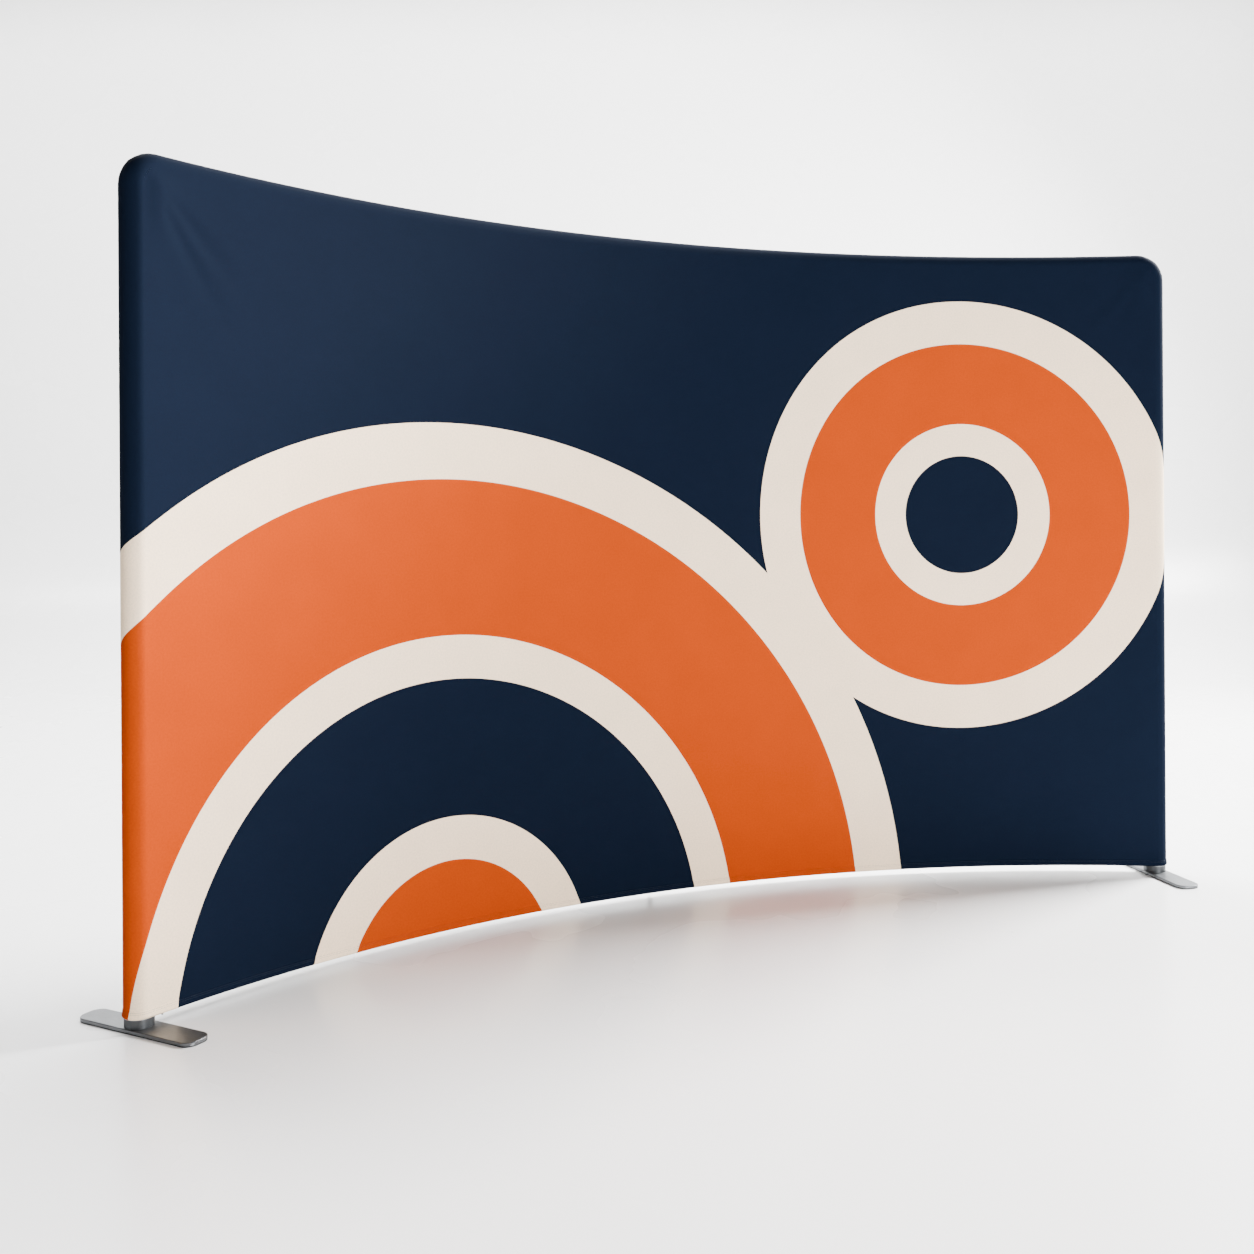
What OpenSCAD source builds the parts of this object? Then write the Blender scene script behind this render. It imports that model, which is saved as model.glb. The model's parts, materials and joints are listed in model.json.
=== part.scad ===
// Curved display wall: a round-tube frame that stands in two flat feet, under a zipped fabric cover.
// Millimetres, +Z up. The hollow side of the curve, which carries the print, faces -Y.
// The origin is on the floor, under the middle of the wall's outline.
//
// A place along the wall is a bearing: the angle at the centre of the curve, from +Y towards +X.
// At a bearing, local X runs along the wall, local Y points out of the back and Z is up.

/* [Wall] */
// Radius of the curve, at the middle of the wall's thickness
wall_radius = 3500; // [2800:50:6000]
// Run of the wall along its curve, from end post to end post
wall_run = 3790; // [3000:10:4400]
// Height of the cover, from its hem to its top
cover_height = 2300; // [1900:10:2500]
// Gap between the floor and the hem
hem_gap = 36; // [34:1:60]

/* [Frame tubes] */
// Diameter of the rails and posts
tube_d = 80; // [72:1:90]
// Wall of the rails and posts
tube_wall = 2; // [1.5:0.1:3]
// Radius of the top corners, at the middle of the tube
elbow_radius = 57; // [50:1:90]
// Depth that a spigot goes into the next tube
joint_depth = 80; // [72:1:90]
// Gap all round between a spigot and the tube that it slides into
joint_gap = 0.1; // [0.05:0.01:0.3]
// Wall of a spigot
spigot_wall = 2; // [1.5:0.1:3]
// Length of a spigot's root inside its own tube
spigot_root = 20; // [12:1:30]
// Height of the bottom corner pieces
tee_height = 200; // [195:5:260]

/* [Centre pole] */
// Diameter of the centre pole
pole_d = 40; // [32:1:50]
// Wall of the centre pole
pole_wall = 1.5; // [1.2:0.1:2.5]
// Diameter of the saddles that seat the pole on the rails
saddle_d = 52; // [50:1:60]
// Thickness of a saddle between rail and pole
saddle_neck = 14; // [8:1:20]
// How far a saddle's skirt reaches down the side of the rail
saddle_skirt = 12; // [8:1:16]
// Length of a saddle's plug inside the pole
saddle_plug = 40; // [25:1:60]
// Diameter of the peg that locates a saddle in its rail
peg_d = 12; // [8:0.5:16]

/* [Snap buttons] */
// Diameter of a snap button
button_d = 10; // [6:0.5:12]
// Height that a button stands out of the tube
button_rise = 3; // [2:0.5:4]
// Gap all round a button and a peg in their holes
hole_gap = 0.2; // [0.1:0.05:0.5]
// Length of the leaf spring under a button
leaf_length = 38; // [30:1:40]
// Width of the leaf spring
leaf_width = 12; // [11:0.5:14]
// Thickness of the leaf spring
leaf_thickness = 0.8; // [0.5:0.1:1.2]

/* [Cover] */
// Thickness of the stretch fabric
fabric = 1; // [0.8:0.1:1.5]
// Gap between the fabric and the frame
fabric_gap = 0.3; // [0.2:0.05:0.6]
// Height of the hem
hem_height = 24; // [20:1:40]
// How far the hem flares out at its foot
hem_flare = 3; // [1:0.5:5]
// Radius of the hem's bottom edge
hem_round = 8; // [5:0.5:10]

/* [Zip] */
// Width of the slot in the underside of the cover
zip_slot = 18; // [14:1:24]
// Width of each zip tape
tape_width = 13; // [10:0.5:16]
// Thickness of the zip tape
tape_thickness = 0.6; // [0.4:0.1:1]
// Width of a row of teeth
teeth_width = 2; // [1.6:0.1:2.6]
// Thickness of the teeth
teeth_thickness = 2; // [1.6:0.1:2.4]
// Gap between the two rows of teeth
teeth_gap = 1.4; // [1.2:0.1:2]
// Length of the slider
slider_length = 16; // [12:0.5:20]
// Thickness of each of the slider's two plates
slider_plate = 1; // [0.8:0.1:1.2]
// Length of the puller below its pin
puller_drop = 17; // [14:0.5:18]
// Width of the puller
puller_width = 9; // [7:0.5:12]

/* [Feet] */
// Reach of a foot in front of the post
foot_front = 222; // [180:1:300]
// Reach of a foot behind the post
foot_rear = 198; // [160:1:300]
// Width of a foot
foot_width = 84; // [82:1:120]
// Corner radius of a foot
foot_corner = 32; // [15:1:40]
// Thickness of the steel plate
foot_plate_t = 9; // [8:0.5:15]
// Bevel around the top of the plate
foot_bevel = 1.5; // [0.5:0.1:3]
// Thickness of the rubber pad
foot_pad_t = 3; // [2:0.5:5]
// How far the pad lies in from the plate's edge
foot_pad_inset = 0.6; // [0.3:0.1:3]
// Diameter of the collar under the post
collar_d = 78; // [77:0.5:79]
// Height of the stem inside the bottom corner piece
stem_height = 110; // [90:1:115]
// Wall of the stem
stem_wall = 3; // [2:0.5:5]
// Turn of the left foot from square to the wall
foot_left_turn = 8; // [0:1:30]
// Turn of the right foot from square to the wall
foot_right_turn = 18; // [0:1:30]

/* [Rear stay] */
// Distance of the stay's foot behind the middle of the wall
stay_reach = 150; // [130:5:260]
// Diameter of the stay's rod
stay_d = 16; // [12:0.5:18]
// Radius of the stay's bend, at the middle of the rod
stay_bend = 32; // [28:1:40]
// Diameter of the rubber tip
tip_d = 28; // [24:1:36]
// Height of the rubber tip
tip_height = 24; // [18:1:34]

/* [Hidden] */

// Facets that a circle of the wall's curve gets, and those of a small circle
wall_facets = 720;
$fn = 96;

RAILS = 3;
LEFT = -1;
RIGHT = 1;

tube_r = tube_d / 2;
bore_r = tube_r - tube_wall;
spigot_r = bore_r - joint_gap;
spigot_bore_r = spigot_r - spigot_wall;

// The cover's outer and inner half thickness
cover_r = tube_r + fabric_gap + fabric;
lining_r = tube_r + fabric_gap;

// Heights: the zip's slider runs between the cover's underside and the bottom rail
slider_gap = 0.4;
zip_room = fabric + tape_thickness / 2 + teeth_thickness / 2 + 2 * slider_gap + slider_plate + fabric_gap;
cover_top_z = hem_gap + cover_height;
top_rail_z = cover_top_z - cover_r;
elbow_z = top_rail_z - elbow_radius;
bottom_rail_z = hem_gap + zip_room + tube_r;
tee_top_z = hem_gap + tee_height;
post_joint_z = (tee_top_z + elbow_z) / 2;
hem_top_z = hem_gap + hem_height;
hem_r = cover_r + hem_flare;

function bearing_of(run) = run / wall_radius * 180 / PI;
end_bearing = bearing_of(wall_run / 2 - elbow_radius);
rail_bearing = 2 * end_bearing / RAILS;
joint_bearing = bearing_of(joint_depth);
root_bearing = bearing_of(spigot_root);

// Place of an end post, from the centre of the curve
post_x = wall_radius * sin(end_bearing) + elbow_radius * cos(end_bearing);
post_y = wall_radius * cos(end_bearing) - elbow_radius * sin(end_bearing);

// Reach of a turned foot from its post along one axis, where u and v are that axis in the foot's frame
function foot_reach(length, u, v) =
    (length - foot_corner) * u + (foot_width / 2 - foot_corner) * v + foot_corner;
left_bearing = end_bearing + foot_left_turn;
right_bearing = end_bearing - foot_right_turn;
outline_left = post_x + foot_reach(foot_rear, sin(left_bearing), cos(left_bearing));
outline_right = post_x + max(foot_reach(foot_rear, sin(right_bearing), cos(right_bearing)), hem_r);
outline_front = post_y - foot_reach(foot_front, cos(right_bearing), abs(sin(right_bearing)));
outline_back = wall_radius + stay_reach + tip_d / 2;
centre_x = (outline_left - outline_right) / 2;
centre_y = -(outline_front + outline_back) / 2;

// ---- Places -------------------------------------------------------------------------------------

// Mirrors what belongs to the left end
module on_side(side) {
    if (side == LEFT)
        mirror([1, 0, 0]) children();
    else
        children();
}

// The centre of the curve
module at_curve_centre(side = RIGHT) {
    translate([centre_x, centre_y, 0])
        on_side(side)
            children();
}

// A bearing on the wall, seen from the centre of the curve
module on_bearing(bearing) {
    rotate([0, 0, -bearing])
        translate([0, wall_radius, 0])
            children();
}

module at_bearing(bearing, side = RIGHT) {
    at_curve_centre(side)
        on_bearing(bearing)
            children();
}

// An end post's axis
module at_post(side) {
    at_bearing(end_bearing, side)
        translate([elbow_radius, 0, 0])
            children();
}

// Sweeps a profile along the wall, from where it stands back to the left: its X is the way out of the
// back, its Y is up
module sweep_back(angle) {
    translate([0, -wall_radius, 0])
        rotate([0, 0, 90])
            rotate_extrude(angle = angle, $fn = wall_facets)
                translate([wall_radius, 0])
                    children();
}

module sweep(from, to, side = RIGHT) {
    at_bearing(to, side)
        sweep_back(to - from)
            children();
}

// Turns a profile round a top corner, from an end of the curve: its X is the distance from the
// corner's centre, its Y the way out of the front
module turn_corner() {
    translate([0, 0, elbow_z])
        rotate([90, 0, 0])
            rotate_extrude(angle = 90)
                children();
}

// ---- Tubes --------------------------------------------------------------------------------------

module ring(outer, inner) {
    difference() {
        circle(outer);
        circle(inner);
    }
}

module tube(from_z, to_z, outer, inner) {
    translate([0, 0, from_z])
        linear_extrude(to_z - from_z)
            ring(outer, inner);
}

// The circle starts on the hollow side, where no hole crosses its start
module swept_rod(from, to, z, radius) {
    sweep(from, to)
        translate([0, z])
            rotate(180)
                circle(radius);
}

// A hole for a snap button, from the tube's axis out along +Z
module button_hole() {
    cylinder(h = tube_r + 1, d = button_d + 2 * hole_gap);
}

// How far a cutting shape goes past what it cuts, as a bearing
overshoot = 0.02;

// One rail: its right end holds the spigot for the next one, the last rail has none
module rail(index, z, button_way) {
    from = -end_bearing + (index - 1) * rail_bearing;
    to = from + rail_bearing;
    last = index == RAILS;
    difference() {
        union() {
            swept_rod(from, to, z, tube_r);
            if (!last)
                swept_rod(to - root_bearing, to + joint_bearing, z, spigot_r);
        }
        swept_rod(from - overshoot, to + (last ? overshoot : -root_bearing), z, bore_r);
        if (!last)
            swept_rod(from - overshoot, to + joint_bearing + overshoot, z, spigot_bore_r);
        at_bearing(from + joint_bearing / 2)
            translate([0, 0, z])
                rotate([button_way, 0, 0])
                    button_hole();
        at_bearing(to + (last ? -1 : 1) * joint_bearing / 2)
            translate([0, 0, z])
                rotate([button_way, 0, 0])
                    button_hole();
    }
}

UP = 0;
DOWN = 180;

module top_rail(index) {
    color("silver")
        difference() {
            rail(index, top_rail_z, DOWN);
            if (index == 2)
                at_bearing(0)
                    translate([0, 0, top_rail_z - tube_d])
                        cylinder(h = tube_d, d = peg_d + 2 * hole_gap);
        }
}

module bottom_rail(index) {
    color("silver")
        difference() {
            rail(index, bottom_rail_z, UP);
            if (index == 2)
                from_rail_back(0)
                    cylinder(h = tube_r + 1, d = boss_d + joint_gap);
            if (index == 2)
                at_bearing(0)
                    translate([0, 0, bottom_rail_z])
                        cylinder(h = tube_d, d = peg_d + 2 * hole_gap);
        }
}

// Cast corner: its thick bend carries one spigot for the top rail and one for the post
module elbow(side) {
    color("darkgray")
        difference() {
            union() {
                at_bearing(end_bearing, side) {
                    turn_corner()
                        translate([elbow_radius, 0])
                            ring(tube_r, spigot_bore_r);
                    sweep_back(joint_bearing)
                        translate([0, top_rail_z])
                            ring(spigot_r, spigot_bore_r);
                }
                at_post(side)
                    tube(elbow_z - joint_depth, elbow_z, spigot_r, spigot_bore_r);
            }
            at_bearing(end_bearing - joint_bearing / 2, side)
                translate([0, 0, top_rail_z])
                    rotate([DOWN, 0, 0])
                        button_hole();
            post_button_hole(side, elbow_z);
        }
}

// The hole of the button in the joint whose face is at joint_z
module post_button_hole(side, joint_z) {
    at_post(side)
        translate([0, 0, joint_z - joint_depth / 2])
            rotate([0, -90, 0])
                button_hole();
}

// A stretch of post with its own spigot at the foot and the next one's hole near the top
module post(side, from_z, to_z) {
    color("silver")
        difference() {
            at_post(side)
                union() {
                    tube(from_z + spigot_root, to_z, tube_r, bore_r);
                    tube(from_z, from_z + spigot_root, tube_r, spigot_bore_r);
                    tube(from_z - joint_depth, from_z, spigot_r, spigot_bore_r);
                }
            post_button_hole(side, from_z);
            post_button_hole(side, to_z);
        }
}

// Bottom corner: takes the post from above, the foot's stem from below, and holds the rail's spigot
module tee(side) {
    color("darkgray")
        difference() {
            union() {
                at_post(side)
                    translate([0, 0, hem_gap])
                        cylinder(h = tee_height, r = tube_r);
                at_post(side)
                    translate([0, 0, bottom_rail_z])
                        rotate([0, -90, 0])
                            cylinder(h = elbow_radius, r = tube_r);
                at_bearing(end_bearing, side)
                    sweep_back(joint_bearing)
                        translate([0, bottom_rail_z])
                            ring(spigot_r, spigot_bore_r);
            }
            at_post(side)
                translate([0, 0, hem_gap - 1])
                    cylinder(h = tee_height + 2, r = bore_r);
            at_post(side)
                translate([0, 0, bottom_rail_z])
                    rotate([0, -90, 0])
                        cylinder(h = elbow_radius, r = spigot_bore_r);
            at_bearing(end_bearing - joint_bearing / 2, side)
                translate([0, 0, bottom_rail_z])
                    button_hole();
            post_button_hole(side, tee_top_z);
        }
}

// ---- Centre pole --------------------------------------------------------------------------------

pole_r = pole_d / 2;
pole_bore_r = pole_r - pole_wall;
pole_spigot_r = pole_bore_r - joint_gap;
pole_spigot_bore_r = pole_spigot_r - pole_wall;
pole_bottom_z = bottom_rail_z + tube_r + saddle_neck;
pole_top_z = top_rail_z - tube_r - saddle_neck;
pole_joint_z = (pole_bottom_z + pole_top_z) / 2;

module pole_button_hole() {
    translate([0, 0, pole_joint_z - joint_depth / 2])
        rotate([0, -90, 0])
            cylinder(h = pole_d, d = button_d + 2 * hole_gap);
}

module pole_upper() {
    color("silver")
        at_bearing(0)
            difference() {
                union() {
                    tube(pole_joint_z + spigot_root, pole_top_z, pole_r, pole_bore_r);
                    tube(pole_joint_z, pole_joint_z + spigot_root, pole_r, pole_spigot_bore_r);
                    tube(pole_joint_z - joint_depth, pole_joint_z, pole_spigot_r, pole_spigot_bore_r);
                }
                pole_button_hole();
            }
}

module pole_lower() {
    color("silver")
        at_bearing(0)
            difference() {
                tube(pole_bottom_z, pole_joint_z, pole_r, pole_bore_r);
                pole_button_hole();
            }
}

// A moulded seat that straddles the rail, pegs into it and plugs into the pole, for a rail at rail_z
module saddle(rail_z, way) {
    color("dimgray")
        union() {
            difference() {
                at_bearing(0)
                    translate([0, 0, rail_z])
                        rotate([way, 0, 0])
                            translate([0, 0, tube_r - saddle_skirt])
                                cylinder(h = saddle_neck + saddle_skirt, d = saddle_d);
                sweep(-2 * joint_bearing, 2 * joint_bearing)
                    translate([0, rail_z])
                        circle(tube_r + joint_gap);
            }
            at_bearing(0)
                translate([0, 0, rail_z])
                    rotate([way, 0, 0])
                        translate([0, 0, tube_r + saddle_neck])
                            cylinder(h = saddle_plug, r = pole_bore_r - joint_gap);
            at_bearing(0)
                translate([0, 0, rail_z])
                    rotate([way, 0, 0])
                        translate([0, 0, tube_r - tube_wall - peg_d / 4])
                            cylinder(h = tube_wall + peg_d / 2, d = peg_d);
        }
}

// ---- Snap buttons -------------------------------------------------------------------------------

// A button on its leaf spring. The button points along +Z from the tube's axis, the leaf lies inside
// the spigot and runs along +X to the spigot's mouth
module snap_button(outer, spigot_bore) {
    leaf_top = sqrt(pow(spigot_bore, 2) - pow(leaf_width / 2, 2)) - joint_gap;
    rim = button_d / 5;
    top = outer + button_rise;
    color("gainsboro")
        union() {
            translate([0, 0, leaf_top])
                cylinder(h = top - rim - leaf_top, d = button_d);
            translate([0, 0, top - rim])
                cylinder(h = rim, d1 = button_d, d2 = button_d - 2 * rim);
            translate([0, 0, leaf_top - leaf_thickness])
                cylinder(h = leaf_thickness, d = leaf_width);
            translate([0, -leaf_width / 2, leaf_top - leaf_thickness])
                cube([leaf_length - leaf_width / 2, leaf_width, leaf_thickness]);
        }
}

// Button of a rail joint. The spigot that carries it points to the left with reach -1, or to the right
module rail_button(bearing, z, button_way, reach, side = RIGHT) {
    at_bearing(bearing, side)
        translate([0, 0, z])
            rotate([button_way, 0, reach == 1 ? 0 : 180])
                snap_button(tube_r, spigot_bore_r);
}

// Buttons 1 to 3 are at the left ends of the rails, button 4 at the right end of the last one
module row_button(index, z, button_way) {
    if (index == 1)
        rail_button(end_bearing - joint_bearing / 2, z, button_way, -1, LEFT);
    else if (index <= RAILS)
        rail_button(-end_bearing + (index - 1) * rail_bearing + joint_bearing / 2, z, button_way, 1);
    else
        rail_button(end_bearing - joint_bearing / 2, z, button_way, -1);
}

// Button of a post joint, which points to the middle of the wall
module post_button(side, joint_z) {
    at_post(side)
        translate([0, 0, joint_z - joint_depth / 2])
            rotate([0, -90, 0])
                rotate([0, 0, 180])
                    snap_button(tube_r, spigot_bore_r);
}

module pole_button() {
    at_bearing(0)
        translate([0, 0, pole_joint_z - joint_depth / 2])
            rotate([0, -90, 0])
                rotate([0, 0, 180])
                    snap_button(pole_r, pole_spigot_bore_r);
}

// ---- Cover --------------------------------------------------------------------------------------

// The cover's outline across the wall, up to top_z, drawn in by the thickness of skin. Its X is the way
// out of the back, its Y is up
module cover_outline(skin, top_z) {
    half = cover_r - skin;
    hem_half = hem_r - skin;
    edge = hem_round - skin;
    corner_x = hem_r - hem_round;
    corner_z = hem_gap + hem_round;
    polygon([
        [-half, hem_top_z],
        [-hem_half, corner_z],
        [hem_half, corner_z],
        [half, hem_top_z],
        [half, top_z],
        [-half, top_z],
    ]);
    translate([-corner_x, hem_gap + skin])
        square([2 * corner_x, edge]);
    translate([-corner_x, corner_z])
        circle(edge);
    translate([corner_x, corner_z])
        circle(edge);
}

// The fabric's section across the wall
module cover_section(top_z) {
    difference() {
        cover_outline(0, top_z);
        cover_outline(fabric, top_z + 1);
    }
}

module zip_slot_cut() {
    translate([-zip_slot / 2, hem_gap - 1])
        square([zip_slot, fabric + 2]);
}

// Builds the right half of the cover and its mirror image, which meet at the middle of the wall
module both_halves() {
    for (side = [LEFT, RIGHT])
        at_curve_centre(side)
            intersection() {
                on_bearing(end_bearing)
                    children();
                cube([post_x + 2 * hem_r, wall_radius + 2 * hem_r, cover_top_z + 1]);
            }
}

// A stretch of cover with the curve and the straight piece up to the post
module cover_run(top_z, end_top_z) {
    sweep_back(end_bearing + overshoot)
        difference() {
            intersection() {
                cover_section(top_z);
                children();
            }
            zip_slot_cut();
        }
    difference() {
        rotate([90, 0, 90])
            linear_extrude(elbow_radius)
                intersection() {
                    cover_section(end_top_z);
                    children();
                }
        translate([elbow_radius, 0, hem_gap - 1])
            cylinder(h = hem_height, r = lining_r);
    }
}

// The cover's rounded end, around the post
module cover_nose() {
    translate([elbow_radius, 0, 0])
        rotate([0, 0, -90])
            rotate_extrude(angle = 180)
                intersection() {
                    cover_section(elbow_z);
                    translate([lining_r, 0])
                        square([hem_r, elbow_z]);
                }
}

// The front panel wraps over the top and round both ends to the back's edges
module cover_front() {
    color([0.13, 0.2, 0.3])
        both_halves() {
            cover_run(top_rail_z, elbow_z)
                translate([-hem_r, 0])
                    square([hem_r, top_rail_z]);
            sweep_back(end_bearing + overshoot)
                intersection() {
                    translate([0, top_rail_z])
                        ring(cover_r, lining_r);
                    translate([-cover_r, top_rail_z])
                        square([2 * cover_r, cover_r]);
                }
            cover_nose();
            turn_corner() {
                translate([0, lining_r])
                    square([elbow_radius, fabric]);
                intersection() {
                    translate([elbow_radius, 0])
                        ring(cover_r, lining_r);
                    translate([elbow_radius, -cover_r])
                        square([cover_r, 2 * cover_r]);
                }
            }
        }
}

module cover_back() {
    color("whitesmoke")
        difference() {
            both_halves() {
                cover_run(top_rail_z, elbow_z)
                    square([hem_r, top_rail_z]);
                turn_corner()
                    translate([0, -cover_r])
                        square([elbow_radius, fabric]);
            }
            from_rail_back(0)
                cylinder(h = 2 * cover_r, d = eyelet_barrel_d);
        }
}

// ---- Zip ----------------------------------------------------------------------------------------

stop_length = 4;
zip_bearing = end_bearing - bearing_of(stop_length);
tape_z = hem_gap + fabric;
teeth_z = tape_z + tape_thickness / 2 - teeth_thickness / 2;
tape_lap = 0.5;

// One half of the zip: a tape sewn on the underside's inner face, with its row of teeth
module zip_half(way) {
    color("dimgray")
        sweep(-zip_bearing, zip_bearing)
            on_side(way)
                union() {
                    translate([teeth_gap / 2 + teeth_width - tape_lap, tape_z])
                        square([tape_width, tape_thickness]);
                    translate([teeth_gap / 2, teeth_z])
                        square([teeth_width, teeth_thickness]);
                }
}

// A stop across both rows of teeth at each end of the zip
module zip_stops() {
    color("silver")
        for (side = [LEFT, RIGHT])
            at_bearing(zip_bearing, side)
                translate([0, -teeth_gap / 2 - 2 * teeth_width, teeth_z])
                    cube([stop_length, teeth_gap + 4 * teeth_width, teeth_thickness]);
}

// The slider, closed up to the left stop
slider_clearance = 0.5;
slider_bearing = -zip_bearing + bearing_of(slider_length / 2 + slider_clearance);
slider_bottom_z = teeth_z - slider_gap - slider_plate;
slider_top_z = teeth_z + teeth_thickness + slider_gap;
slider_half_width = teeth_gap / 2 + teeth_width + 2 * slider_gap + slider_plate;
wedge_width = teeth_gap / 2;
wedge_length = 3;
crown_height = 3.7;
crown_length = 10;
crown_width = 2.4;
pin_d = 1.8;
pin_gap = 0.3;
pin_z = slider_bottom_z - crown_height / 2;

module zip_slider() {
    lip_height = (slider_top_z - slider_bottom_z - slider_plate - tape_thickness) / 2 - slider_gap;
    color("silver")
        at_bearing(slider_bearing) {
            for (z = [slider_bottom_z, slider_top_z])
                translate([-slider_length / 2, -slider_half_width, z])
                    cube([slider_length, 2 * slider_half_width, slider_plate]);
            for (way = [LEFT, RIGHT])
                for (z = [slider_bottom_z + slider_plate, slider_top_z - lip_height])
                    translate([
                        -slider_length / 2,
                        way * (slider_half_width - slider_plate / 2) - slider_plate / 2,
                        z,
                    ])
                        cube([slider_length, slider_plate, lip_height]);
            translate([-slider_length / 2, -wedge_width / 2, slider_bottom_z])
                cube([wedge_length, wedge_width, slider_top_z - slider_bottom_z + slider_plate]);
            difference() {
                translate([0, crown_width / 2, slider_bottom_z])
                    rotate([90, 0, 0])
                        linear_extrude(crown_width)
                            polygon([
                                [-crown_length / 2, 0],
                                [crown_length / 2, 0],
                                [crown_length / 3, -crown_height],
                                [-crown_length / 3, -crown_height],
                            ]);
                translate([0, 0, pin_z])
                    rotate([90, 0, 0])
                        cylinder(h = 2 * crown_width, d = pin_d + 2 * pin_gap, center = true);
            }
        }
}

// The puller hangs on a pin through the slider's crown
module zip_puller() {
    arm_width = 1.8;
    tab_thickness = 1.6;
    tab_top = 5.2;
    color("silver")
        at_bearing(slider_bearing)
            translate([0, 0, pin_z])
                difference() {
                    union() {
                        rotate([90, 0, 0])
                            cylinder(h = puller_width, d = pin_d, center = true);
                        for (way = [LEFT, RIGHT])
                            translate([
                                -tab_thickness / 2,
                                way * (puller_width - arm_width) / 2 - arm_width / 2,
                                -tab_top,
                            ])
                                cube([tab_thickness, arm_width, tab_top]);
                        translate([-tab_thickness / 2, -puller_width / 2, -puller_drop + puller_width / 2])
                            cube([tab_thickness, puller_width, puller_drop - puller_width / 2 - tab_top]);
                        translate([0, 0, -puller_drop + puller_width / 2])
                            rotate([0, 90, 0])
                                cylinder(h = tab_thickness, d = puller_width, center = true);
                    }
                    translate([0, 0, -puller_drop + puller_width / 2])
                        rotate([0, 90, 0])
                            cylinder(h = 2 * tab_thickness, d = puller_width / 3, center = true);
                }
}

// ---- Feet ---------------------------------------------------------------------------------------

plate_z = foot_pad_t;
collar_z = plate_z + foot_plate_t;
thrust_gap = 0.3;
screw_d = 6;
screw_head_d = 12;
screw_length = 20;
screw_circle = 44;
screw_count = 3;

// The foot's own frame: the post's axis, with the front along -Y
module at_foot(side) {
    at_post(side)
        rotate([0, 0, side == LEFT ? -foot_left_turn : foot_right_turn])
            children();
}

// A plate with rounded corners, drawn in by inset, with a bevel around its top
module foot_slab(thickness, bevel, inset) {
    half = foot_width / 2 - inset;
    front = foot_front - inset;
    rear = foot_rear - inset;
    corner = foot_corner - inset;
    translate([0, rear - corner, 0])
        rotate([90, 0, 0])
            linear_extrude(front + rear - 2 * corner)
                bevelled(-half, half, thickness, bevel);
    translate([corner - half, 0, 0])
        rotate([90, 0, 90])
            linear_extrude(2 * (half - corner))
                bevelled(-front, rear, thickness, bevel);
    for (x = [corner - half, half - corner])
        for (y = [corner - front, rear - corner])
            translate([x, y, 0])
                rotate_extrude()
                    intersection() {
                        bevelled(-corner, corner, thickness, bevel);
                        square([corner, thickness]);
                    }
}

module bevelled(from, to, height, bevel) {
    polygon([
        [from, 0],
        [to, 0],
        [to, height - bevel],
        [to - bevel, height],
        [from + bevel, height],
        [from, height - bevel],
    ]);
}

module at_screws() {
    for (index = [0 : screw_count - 1])
        rotate([0, 0, 90 + index * 360 / screw_count])
            translate([screw_circle / 2, 0, plate_z])
                children();
}

// A countersunk screw, head down, grown all round by gap
module screw_shape(gap) {
    sink = (screw_head_d - screw_d) / 2;
    cylinder(h = sink, d1 = screw_head_d + 2 * gap, d2 = screw_d + 2 * gap);
    cylinder(h = screw_length + gap, d = screw_d + 2 * gap);
}

module foot_plate(side) {
    color("lightslategray")
        at_foot(side)
            difference() {
                translate([0, 0, plate_z])
                    foot_slab(foot_plate_t, foot_bevel, 0);
                at_screws()
                    screw_shape(joint_gap);
            }
}

module foot_pad(side) {
    color([0.08, 0.08, 0.09])
        at_foot(side)
            foot_slab(foot_pad_t, foot_pad_t / 6, foot_pad_inset);
}

// The collar that carries the post, and the stem that the post turns on
module foot_stem(side) {
    base_step = 4;
    groove = 0.8;
    collar_top = hem_gap - thrust_gap;
    color("gray")
        at_foot(side)
            difference() {
                union() {
                    tube(collar_top, hem_gap + stem_height, bore_r - joint_gap, bore_r - joint_gap - stem_wall);
                    translate([0, 0, collar_z])
                        cylinder(h = base_step, d = collar_d);
                    translate([0, 0, collar_z + base_step])
                        cylinder(h = groove, d = collar_d - 2 * groove);
                    translate([0, 0, collar_z + base_step + groove])
                        cylinder(h = collar_top - collar_z - base_step - groove, d = collar_d);
                }
                at_screws()
                    screw_shape(joint_gap);
            }
}

module foot_screws(side) {
    socket_d = 4;
    socket_depth = 2.5;
    color("dimgray")
        at_foot(side)
            at_screws()
                difference() {
                    screw_shape(0);
                    cylinder(h = socket_depth, d = socket_d, $fn = 6);
                }
}

// ---- Rear stay ----------------------------------------------------------------------------------

boss_d = stay_d + 8;
boss_length = 18;
eyelet_barrel_d = stay_d + 4;
eyelet_flange_d = stay_d + 14;
eyelet_t = 1;
tip_floor = 4;

module from_rail_back(start) {
    at_bearing(0)
        translate([0, start, bottom_rail_z])
            rotate([-90, 0, 0])
                children();
}

// The threaded boss in the back of the bottom rail that the stay screws into
module stay_boss() {
    color("gray")
        from_rail_back(tube_r - boss_length)
            difference() {
                cylinder(h = boss_length, d = boss_d);
                translate([0, 0, -1])
                    cylinder(h = boss_length + 2, d = stay_d + joint_gap);
            }
}

// A bent rod from the bottom rail, out through the back and down to the floor
module rear_stay() {
    bend_y = stay_reach - stay_bend;
    bend_z = bottom_rail_z - stay_bend;
    color("gray")
        union() {
            from_rail_back(tube_r - boss_length)
                cylinder(h = bend_y - tube_r + boss_length, d = stay_d);
            at_bearing(0)
                translate([0, bend_y, bend_z])
                    rotate([90, 0, 90])
                        rotate_extrude(angle = 90)
                            translate([stay_bend, 0])
                                circle(d = stay_d);
            at_bearing(0)
                translate([0, stay_reach, tip_floor])
                    cylinder(h = bend_z - tip_floor, d = stay_d);
        }
}

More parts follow.
